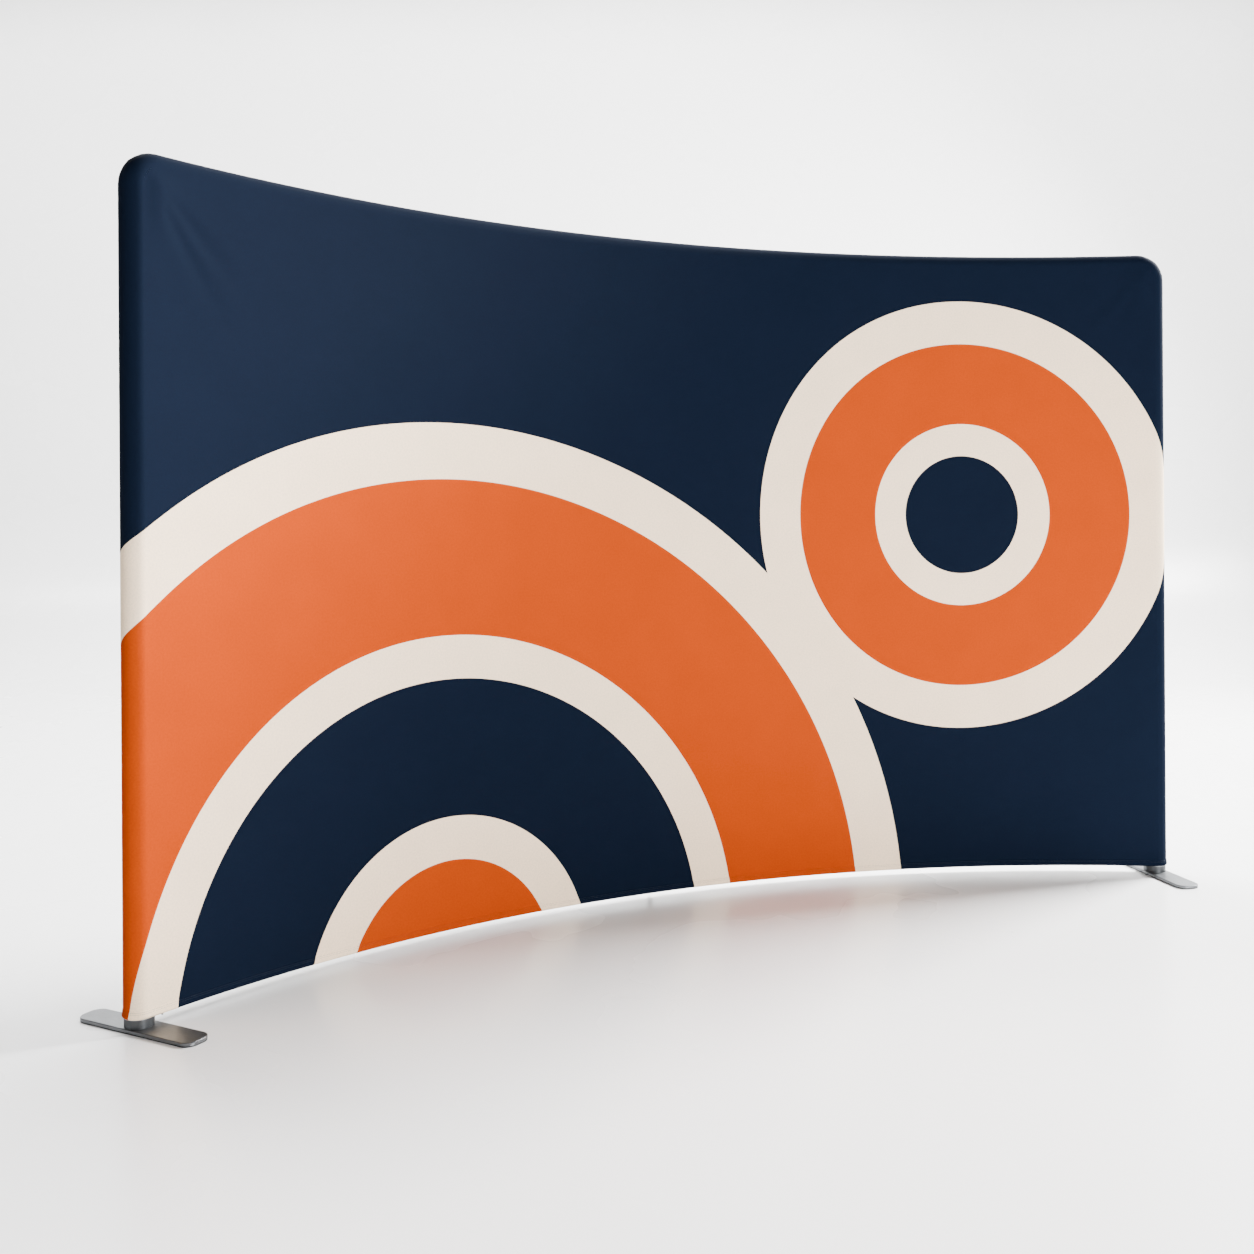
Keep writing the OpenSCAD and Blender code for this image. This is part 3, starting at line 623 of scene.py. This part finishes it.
def seam_rows(wall, sizes):
    """The row of stitches just inside the back panel's seam, up both sides and over the top."""
    bend = wall.elbow - SEAM_STITCHES
    height = along(sizes, wall.hem_top, wall.elbow_z, wall.elbow_z - wall.hem_top)
    turn = along(sizes, 0, math.pi / 2, bend * math.pi / 2)
    run = along(sizes, -wall.straight, wall.straight, 2 * wall.straight)
    paths = []
    for tip in (-1, 1):
        paths.append((tip * (wall.half_run - SEAM_STITCHES), height))
        paths.append((tip * (wall.straight + bend * np.cos(turn)), wall.elbow_z + bend * np.sin(turn)))
    paths.append((run, wall.top - SEAM_STITCHES))
    return [stitch_row(sizes, wall.panel(1), *path, -1) for path in paths]


# ---- Materials -------------------------------------------


def add_node(tree, kind, links=None, **settings):
    """Adds a shader node with its settings, and links its sockets to a node or an output or sets them."""
    node = tree.nodes.new("ShaderNode" + kind)
    for key, value in settings.items():
        setattr(node, key, value)
    for key, value in (links or {}).items():
        if isinstance(value, bpy.types.Node):
            value = value.outputs[0]
        if isinstance(value, bpy.types.NodeSocket):
            tree.links.new(value, node.inputs[key])
        else:
            node.inputs[key].default_value = value
    return node


def blank(name):
    """A new material with an empty node tree, and the function that adds a node to it."""
    material = bpy.data.materials.new(name)
    material.use_nodes = True
    material.node_tree.nodes.clear()
    return material, partial(add_node, material.node_tree)


# The part of its range that a noise mostly keeps to
MOSTLY = {"From Min": 0.3, "From Max": 0.7}


def stretch_knit(name, colour, gloss=0.06):
    """Dye-printed polyester stretch knit: matt and even, with a faint sheen at grazing angles."""
    material, add = blank(name)
    cloth = add("UVMap", uv_map="cloth")
    # Loops are about 0.8 mm apart, drawn at 2.4 mm so that they show.
    loops = add("TexVoronoi", {"Vector": cloth, "Scale": 1 / 0.0024}, voronoi_dimensions="2D")
    # Uneven yarn over a few millimetres, and an uneven take-up of dye over a hand's width.
    grain = add(
        "TexNoise",
        {"Vector": cloth, "Scale": 1 / 0.006, "Detail": 3.0, "Roughness": 0.6},
        noise_dimensions="2D",
    )
    cloud = add(
        "TexNoise",
        {"Vector": cloth, "Scale": 1 / 0.16, "Detail": 4.0, "Roughness": 0.55},
        noise_dimensions="2D",
    )
    fine = add("MapRange", {"Value": grain, **MOSTLY, "To Min": 0.93, "To Max": 1.06})
    broad = add("MapRange", {"Value": cloud, **MOSTLY, "To Min": 0.975, "To Max": 1.02})
    shade = add("Math", {0: fine, 1: broad}, operation="MULTIPLY")
    tinted = add("VectorMath", {0: colour, "Scale": shade}, operation="SCALE")
    rough = add("MapRange", {"Value": grain, "To Min": 0.74, "To Max": 0.9})
    knit = add("Bump", {"Height": loops.outputs["Distance"], "Strength": 0.12, "Distance": 0.0006})
    soft = add("Bump", {"Height": grain, "Strength": 0.1, "Distance": 0.0015, "Normal": knit})
    shader = add(
        "BsdfPrincipled",
        {
            "Base Color": tinted,
            "Roughness": rough,
            "Normal": soft,
            "IOR": 1.46,
            "Sheen Weight": 0.01,
            "Sheen Roughness": 0.45,
            "Specular IOR Level": gloss,
        },
    )
    add("OutputMaterial", {"Surface": shader})
    return material


def sewing_thread(name, colour):
    """Twisted polyester thread: small slanting strands with a soft shine."""
    material, add = blank(name)
    place = add("TexCoord").outputs["Object"]
    # Strands are 0.2 mm apart, drawn at 0.6 mm so that they show.
    twist = add(
        "TexWave",
        {"Vector": place, "Scale": 1 / 0.0006 / math.tau, "Distortion": 1.5},
        bands_direction="DIAGONAL",
    ).outputs["Fac"]
    # The colour follows the twist: painted shade in the grooves between strands and painted highlight on
    # their crests.
    tone = add("MapRange", {"Value": twist, "To Min": 0.75, "To Max": 1.15})
    tinted = add("VectorMath", {0: colour, "Scale": tone}, operation="SCALE")
    rough = add("MapRange", {"Value": twist, "To Min": 0.5, "To Max": 0.7})
    strands = add("Bump", {"Height": twist, "Strength": 0.4, "Distance": 0.0001})
    shader = add(
        "BsdfPrincipled",
        {"Base Color": tinted, "Roughness": rough, "Normal": strands, "IOR": 1.5},
    )
    add("OutputMaterial", {"Surface": shader})
    return material


def zip_tape(name, colour, radius):
    """Woven polyester tape with a moulded nylon coil: ribbed matt cloth, and glossier teeth at its edge."""
    material, add = blank(name)
    place = add("TexCoord").outputs["Object"]
    centred = add("VectorMath", {0: place, 1: (CURVE_CENTRE.x, CURVE_CENTRE.y, 0)}, operation="SUBTRACT")
    split = add("SeparateXYZ", {0: centred})
    flat = add("CombineXYZ", {"X": split.outputs["X"], "Y": split.outputs["Y"]})
    reach = add("VectorMath", {0: flat}, operation="LENGTH")
    bearing = add("Math", {0: split.outputs["X"], 1: split.outputs["Y"]}, operation="ARCTAN2")
    run = add("Math", {0: bearing, 1: radius}, operation="MULTIPLY")
    off = add("Math", {0: reach.outputs["Value"], 1: radius}, operation="SUBTRACT")
    away = add("Math", {0: off}, operation="ABSOLUTE")
    # The teeth reach 2.7 mm to each side of the zip's middle.
    teeth = add(
        "MapRange",
        {"Value": away, "From Min": 0.0026, "From Max": 0.0029, "To Min": 1.0, "To Max": 0.0},
    )
    # One tooth every 1.6 mm, as in a size 5 coil, drawn at 2.4 mm so that it shows.
    coil = add("Math", {0: run, 1: 0.0012}, operation="PINGPONG")
    tooth = add("MapRange", {"Value": coil, "From Max": 0.0012})
    # Ribs of the tape are 0.5 mm apart, drawn at 1 mm.
    ribbing = add("Math", {0: run, 1: 0.0005}, operation="PINGPONG")
    rib = add("MapRange", {"Value": ribbing, "From Max": 0.0005})
    height = add("Mix", {"Factor": teeth, 2: rib, 3: tooth}, data_type="FLOAT")
    # The colour follows the relief: painted shade down in the grooves between ribs and between teeth, and
    # painted highlight on their tops.
    shade = add("MapRange", {"Value": height, "To Min": 0.55, "To Max": 1.15})
    darker = add("MapRange", {"Value": teeth, "To Min": 1.0, "To Max": 0.35})
    tone = add("Math", {0: shade, 1: darker}, operation="MULTIPLY")
    tinted = add("VectorMath", {0: colour, "Scale": tone}, operation="SCALE")
    rough = add("MapRange", {"Value": teeth, "To Min": 0.85, "To Max": 0.38})
    relief = add("Bump", {"Height": height, "Strength": 0.7, "Distance": 0.0006})
    shader = add("BsdfPrincipled", {"Base Color": tinted, "Roughness": rough, "Normal": relief, "IOR": 1.5})
    add("OutputMaterial", {"Surface": shader})
    return material


def brushed_metal(name, colour, roughness, turn=0.0, grit_mm=0.5):
    """Brushed or turned metal: fine scratches one way, over a soft, cloudy gloss."""
    material, add = blank(name)
    place = add("TexCoord").outputs["Object"]
    turned = add("VectorRotate", {"Vector": place, "Angle": turn}, rotation_type="Z_AXIS")
    # Real scratches are about 0.1 mm wide. They are drawn coarser so that they show, and thirty times
    # as long as they are wide. The gloss clouds over every 40 mm.
    stretched = add("Mapping", {"Vector": turned, "Scale": (1.0, 0.03, 1.0)})
    scratches = add(
        "TexNoise",
        {"Vector": stretched, "Scale": 1000 / grit_mm, "Detail": 4.0, "Roughness": 0.7},
    )
    cloud = add("TexNoise", {"Vector": place, "Scale": 1 / 0.04, "Detail": 3.0})
    rough = add(
        "MapRange",
        {"Value": scratches, **MOSTLY, "To Min": roughness - 0.06, "To Max": roughness + 0.08},
    )
    tone = add("MapRange", {"Value": cloud, **MOSTLY, "To Min": 0.93, "To Max": 1.05})
    tinted = add("VectorMath", {0: colour, "Scale": tone}, operation="SCALE")
    bump = add("Bump", {"Height": scratches, "Strength": 0.125, "Distance": 0.0002})
    shader = add(
        "BsdfPrincipled",
        {"Base Color": tinted, "Metallic": 1.0, "Roughness": rough, "Normal": bump},
    )
    add("OutputMaterial", {"Surface": shader})
    return material


def moulded(name, colour, roughness, grain_mm, gloss=0.5):
    """Moulded rubber or plastic: an even matt skin with a fine leathery grain."""
    material, add = blank(name)
    place = add("TexCoord").outputs["Object"]
    grain = add("TexNoise", {"Vector": place, "Scale": 1000 / grain_mm, "Detail": 4.0})
    tone = add("MapRange", {"Value": grain, **MOSTLY, "To Min": 0.85, "To Max": 1.12})
    tinted = add("VectorMath", {0: colour, "Scale": tone}, operation="SCALE")
    rough = add("MapRange", {"Value": grain, "To Min": roughness - 0.06, "To Max": roughness + 0.06})
    bump = add("Bump", {"Height": grain, "Strength": 0.3, "Distance": 0.0003})
    shader = add(
        "BsdfPrincipled",
        {"Base Color": tinted, "Roughness": rough, "Normal": bump, "IOR": 1.5, "Specular IOR Level": gloss},
    )
    add("OutputMaterial", {"Surface": shader})
    return material


def polished_floor(name, colour):
    """Pale polished studio floor: even and bright, with a weak blurred reflection."""
    material, add = blank(name)
    place = add("TexCoord").outputs["Object"]
    # The polish varies over some 0.8 m.
    cloud = add("TexNoise", {"Vector": place, "Scale": 1.2, "Detail": 3.0})
    rough = add("MapRange", {"Value": cloud, "To Min": 0.2, "To Max": 0.34})
    shader = add(
        "BsdfPrincipled",
        {"Base Color": (*colour, 1), "Roughness": rough, "Specular IOR Level": 0.5},
    )
    add("OutputMaterial", {"Surface": shader})
    return material


def dress(material, *names):
    """Gives CAD nodes a material in every slot they have."""
    for name in names:
        mesh = frame["nodes"][name].data
        if not mesh.materials:
            mesh.materials.append(material)
        for index in range(len(mesh.materials)):
            mesh.materials[index] = material


def nodes_like(*starts):
    """Names of the CAD nodes that start in one of these ways."""
    return [name for name in frame["nodes"] if name.startswith(starts)]


# ---- Pieces ----------------------------------------------

CORNER_LINES = 5  # mesh lines along an edge of a corner patch
BEND_LINES = 2 * CORNER_LINES - 1  # mesh lines round a whole bend, so that its corner patch meets them
EYELET_LAP = 0.005  # how far the eyelet's flange covers the cloth's edge


def front_patches(wall):
    """The printed front, the round over the top and ends, and the front half of the hem."""
    runs = wall.lines(-wall.straight, wall.straight)
    rows = wall.rows()
    crest = np.linspace(wall.elbow_z, wall.top, CORNER_LINES)
    turns = wall.turns()
    depths = wall.hem_depths()
    bends = np.linspace(0, math.pi / 2, BEND_LINES)
    ends = np.linspace(0, wall.elbow, CORNER_LINES)
    unit = np.linspace(0, 1, CORNER_LINES)
    front, hem = wall.panel(-1), wall.hem_face(-1)
    patches = [
        Patch(front, runs, rows),
        Patch(front, runs, crest),
        Patch(wall.top_round, runs, turns),
        Patch(hem, runs, depths, flip=True),
    ]
    for end in (-1, 1):
        left = end < 0
        strip = np.sort(end * (wall.straight + ends))
        patches += [
            Patch(front, strip, rows),
            Patch(wall.corner(-1, end), unit, unit, flip=left),
            Patch(wall.corner_round(end), bends, turns, flip=not left),
            Patch(wall.side_round(end), rows, turns, flip=not left),
            Patch(hem, strip, depths, flip=True),
            Patch(wall.hem_round(end), turns, depths, flip=not left),
        ]
    return patches


def back_patches(wall):
    """The plain back with its seam all round, and the back half of the hem."""
    # Even lines to 8 mm from the seam, and then the seam's own.
    plain = np.linspace(0, wall.elbow - 0.008, 4)
    out = np.concatenate([plain, wall.elbow - SEAM_LINES, [wall.elbow]])
    hole_z, hole = (EYELET_HIGH.z + EYELET_LOW.z) / 2, (EYELET_HIGH.z - EYELET_LOW.z) / 2 - EYELET_LAP
    # Finer cells round the hole, so that its cut edge stays round.
    fine = hole * np.linspace(-1.4, 1.4, 15)
    runs = np.union1d(wall.lines(-wall.straight, wall.straight), fine)
    rows = np.union1d(wall.rows(), hole_z + fine)
    depths = wall.hem_depths()
    bends = np.linspace(0, math.pi / 2, BEND_LINES)
    back, hem = wall.panel(1), wall.hem_face(1)
    patches = [
        Patch(back, runs, rows, flip=True),
        Patch(back, runs, wall.elbow_z + out, flip=True),
        Patch(hem, runs, depths),
    ]
    for end in (-1, 1):
        left = end < 0
        strip = np.sort(end * (wall.straight + out))
        patches += [
            Patch(back, strip, rows, flip=True),
            Patch(wall.fan(1, end), bends, out, flip=left),
            Patch(hem, strip, depths),
        ]
    patches[0].drop(lambda at: np.hypot(at[..., 0], at[..., 1] - hole_z) - hole)
    return patches


class DISPLAYWALL_OT_printed_front(bpy.types.Operator):
    """Makes the printed front of the cover, which wraps over the top and round both ends"""

    bl_idname = "displaywall.printed_front"
    bl_label = "Printed front"

    def execute(self, context):
        sizes, colours = context.scene.wall_sizes, context.scene.wall_colours
        wall = Wall(sizes)
        patches = front_patches(wall)
        for patch in patches:
            for ring in RINGS:
                patch.cut(ring_field(ring))
        # Three matt dyes; the two strong ones stay deep, with next to no veil of light at an angle.
        dyes = [
            stretch_knit("navy_stretch_knit", colours.navy, 0.02),
            stretch_knit("orange_stretch_knit", colours.orange, 0.02),
            stretch_knit("cream_stretch_knit", colours.cream),
        ]
        piece = sew("printed_front", patches, dyes, dye_at)
        # Navy thread, a shade darker than the cloth, with a soft shine.
        navy = sewing_thread("navy_thread", srgb("#050b16"))
        thread = stitch_up("front_hem_stitches", hem_rows(wall, -1, sizes), navy)
        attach(thread, "wall")
        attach(piece, "wall")
        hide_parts("cover_front")
        # The flat sheet goes half round each tube, and 30 mm of it is turned in for the hem.
        return {"FINISHED"}


class DISPLAYWALL_OT_back_panel(bpy.types.Operator):
    """Makes the plain back panel of the cover, with the back half of the hem"""

    bl_idname = "displaywall.back_panel"
    bl_label = "Back panel"

    def execute(self, context):
        sizes = context.scene.wall_sizes
        wall = Wall(sizes)
        # Light grey knit, matt and without a print.
        plain = stretch_knit("plain_stretch_knit", context.scene.wall_colours.back)
        piece = sew("back_panel", back_patches(wall), [plain])
        # Grey thread that just shows on the grey cloth.
        grey = sewing_thread("grey_thread", srgb("#9a978f"))
        thread = stitch_up("back_stitches", hem_rows(wall, 1, sizes) + seam_rows(wall, sizes), grey)
        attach(thread, "wall")
        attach(piece, "wall")
        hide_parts("cover_back")
        return {"FINISHED"}


class DISPLAYWALL_OT_frame_metal(bpy.types.Operator):
    """Gives the tubes, corners, saddles and snap buttons their finishes"""

    bl_idname = "displaywall.frame_metal"
    bl_label = "Frame metal"

    def execute(self, context):
        # Satin tubes are pale, with blurred streaks of light; the castings are greyer and duller.
        tube = brushed_metal("satin_anodised_aluminium", srgb("#c9cbcd"), 0.34, grit_mm=0.8)
        cast = brushed_metal("tumbled_cast_aluminium", srgb("#a8a9aa"), 0.48, grit_mm=1.6)
        # Bright springs glint, and the black nylon takes a dull sheen on its fine grain.
        spring = brushed_metal("bright_spring_steel", srgb("#c4c6c9"), 0.24, grit_mm=0.5)
        nylon = moulded("moulded_black_nylon", srgb("#2c2c2e"), 0.5, 0.8)
        dress(tube, *nodes_like("top_rail", "bottom_rail", "post", "pole"))
        dress(cast, *nodes_like("elbow", "tee"))
        dress(spring, *nodes_like("button"))
        dress(nylon, *nodes_like("saddle"))
        return {"FINISHED"}


class DISPLAYWALL_OT_feet(bpy.types.Operator):
    """Gives the feet and the rear stay their brushed steel and rubber"""

    bl_idname = "displaywall.feet"
    bl_label = "Feet and stay"

    def execute(self, context):
        colours = context.scene.wall_colours
        steel = colours.steel
        # Mid-grey plates that mirror the room as a blur, brushed along their length as they stand.
        for side, turn in (("left", -0.65), ("right", 0.2)):
            plate = brushed_metal("brushed_steel_plate_" + side, steel, 0.4, turn, 0.9)
            dress(plate, "foot_plate_" + side)
        # The same steel turned on a lathe is duller. The collars under the cloth are painted darker:
        # painted shade for the shadow they stand in.
        turned = brushed_metal("turned_steel", steel, 0.46, grit_mm=0.6)
        collar_painted_shade = brushed_metal("turned_steel_collar_painted_shade", colours.collar_painted_shade, 0.5, grit_mm=0.6)
        # Rubber is black and quite matt; zinc plating is a lighter, cooler grey than the plates.
        rubber = moulded("black_rubber", srgb("#0c0c0d"), 0.8, 1.0, 0.2)
        zinc = brushed_metal("zinc_plated_steel", srgb("#8f9194"), 0.4, grit_mm=0.6)
        dress(turned, "rear_stay", "stay_boss")
        dress(collar_painted_shade, *nodes_like("foot_stem"))
        dress(rubber, *nodes_like("foot_pad", "stay_tip"))
        dress(zinc, *nodes_like("foot_screws", "back_eyelet"))
        return {"FINISHED"}


class DISPLAYWALL_OT_zip_fastening(bpy.types.Operator):
    """Gives the zip its woven tape and its nickel slider"""

    bl_idname = "displaywall.zip_fastening"
    bl_label = "Zip"

    def execute(self, context):
        # Nickel shines brightly beside the dark, ribbed tape.
        nickel = brushed_metal("nickel_plated_zinc", srgb("#b4b6b8"), 0.28, grit_mm=0.4)
        tape = zip_tape("woven_zip_tape", srgb("#4a4c50"), context.scene.wall_sizes.curve_radius)
        dress(tape, "zip_front", "zip_back")
        dress(nickel, "zip_slider", "zip_puller", "zip_stops")
        return {"FINISHED"}


COVE = 1.6  # radius of the backdrop's turn from floor to wall
HALF_WIDTH = 18  # of the floor and backdrop
BEHIND, HEIGHT = -9.0, 9.0  # where the floor starts behind the camera, and the backdrop's top
AMBIENT = 0.20  # strength of the white light from all round

# Lights: name, power in watts, width and depth in metres, spread in degrees, then place and target,
# each as metres to the right of the camera, ahead of it and up from the floor
LIGHTS = (
    ("key", 810, 3.0, 2.0, 180, (4.6, -1.0, 1.5), (0.2, 4.5, 1.2)),
    ("side", 4300, 3.2, 2.6, 150, (7.2, 8.0, 5.8), (-0.6, 3.4, 0.2)),
    ("overhead", 860, 8.0, 1.0, 120, (-2.4, 7.1, 6.6), (-2.4, 6.9, 0.0)),
    ("backdrop_wash", 880, 16.0, 1.0, 100, (-0.6, 8.4, 7.2), (-0.6, 12.0, 2.6)),
)


class DISPLAYWALL_OT_stage(bpy.types.Operator):
    """Sets up the pale floor and backdrop, the soft lights and the camera"""

    bl_idname = "displaywall.stage"
    bl_label = "Stage"

    def execute(self, context):
        stage = context.scene.wall_stage
        eye = Vector((CURVE_CENTRE.x + stage.eye_x, CURVE_CENTRE.y + stage.eye_y, stage.eye_height))
        ahead = Vector((math.sin(stage.eye_turn), math.cos(stage.eye_turn), 0))
        across = Vector((ahead.y, -ahead.x, 0))
        up = Vector((0, 0, 1))
        data = bpy.data.cameras.new("camera")
        data.sensor_width = 36
        data.lens = stage.focal_length
        data.shift_y = stage.shift
        camera = show("camera", data)
        camera.location = eye
        level = Matrix.Rotation(-stage.eye_turn, 3, "Z") @ Matrix.Rotation(math.pi / 2, 3, "X")
        camera.rotation_euler = (level @ Matrix.Rotation(-stage.eye_roll, 3, "Z")).to_euler()
        context.scene.camera = camera

        profile = [(BEHIND, 0.0)]
        for step in range(stage.segments + 1):
            rise = math.pi / 2 * step / stage.segments
            profile.append((stage.cyclorama + COVE * math.sin(rise), COVE * (1 - math.cos(rise))))
        profile.append((stage.cyclorama + COVE, HEIGHT))
        ground = Vector((eye.x, eye.y, 0))
        sides = (-HALF_WIDTH, HALF_WIDTH)
        points = [ground + ahead * y + across * x + up * z for y, z in profile for x in sides]
        faces = [(2 * i, 2 * i + 1, 2 * i + 3, 2 * i + 2) for i in range(len(profile) - 1)]
        mesh = bpy.data.meshes.new("floor")
        mesh.from_pydata(points, [], faces)
        smooth(mesh)
        mesh.materials.append(polished_floor("pale_studio_floor", srgb("#efefef")))
        floor = show("floor", mesh)

        for name, power, width, depth, spread, *ends in LIGHTS:
            place, target = (ground + across * x + ahead * y + up * z for x, y, z in ends)
            data = bpy.data.lights.new(name, "AREA")
            data.shape = "RECTANGLE"
            data.size, data.size_y = width, depth
            data.energy = power
            data.spread = math.radians(spread)
            lamp = show(name, data)
            lamp.location = place
            lamp.rotation_euler = (target - place).to_track_quat("-Z", "Y").to_euler()
            lamp.visible_camera = False
        world = bpy.data.worlds.new("studio")
        world.use_nodes = True
        background = world.node_tree.nodes["Background"]
        background.inputs["Color"].default_value = (1, 1, 1, 1)
        background.inputs["Strength"].default_value = AMBIENT
        context.scene.world = world
        return {"FINISHED"}


OPERATORS = (
    DISPLAYWALL_OT_printed_front,
    DISPLAYWALL_OT_back_panel,
    DISPLAYWALL_OT_frame_metal,
    DISPLAYWALL_OT_feet,
    DISPLAYWALL_OT_zip_fastening,
    DISPLAYWALL_OT_stage,
)


class DISPLAYWALL_PT_pieces(bpy.types.Panel):
    """Lists the steps that dress the wall"""

    bl_label = "Display Wall"
    bl_idname = "DISPLAYWALL_PT_pieces"
    bl_space_type = "VIEW_3D"
    bl_region_type = "UI"
    bl_category = "Display Wall"

    def draw(self, context):
        for operator in OPERATORS:
            self.layout.operator(operator.bl_idname)


GROUPS = {"wall_sizes": WallSizes, "wall_colours": WallColours, "wall_stage": StageSettings}


def register():
    for kind in (*GROUPS.values(), *OPERATORS, DISPLAYWALL_PT_pieces):
        bpy.utils.register_class(kind)
    for name, kind in GROUPS.items():
        setattr(bpy.types.Scene, name, PointerProperty(type=kind))


def unregister():
    for name in GROUPS:
        delattr(bpy.types.Scene, name)
    for kind in (DISPLAYWALL_PT_pieces, *OPERATORS[::-1], *GROUPS.values()):
        bpy.utils.unregister_class(kind)


def main():
    register()
    for operator in OPERATORS:
        group, name = operator.bl_idname.split(".")
        getattr(getattr(bpy.ops, group), name)()


if __name__ == "__main__":
    main()
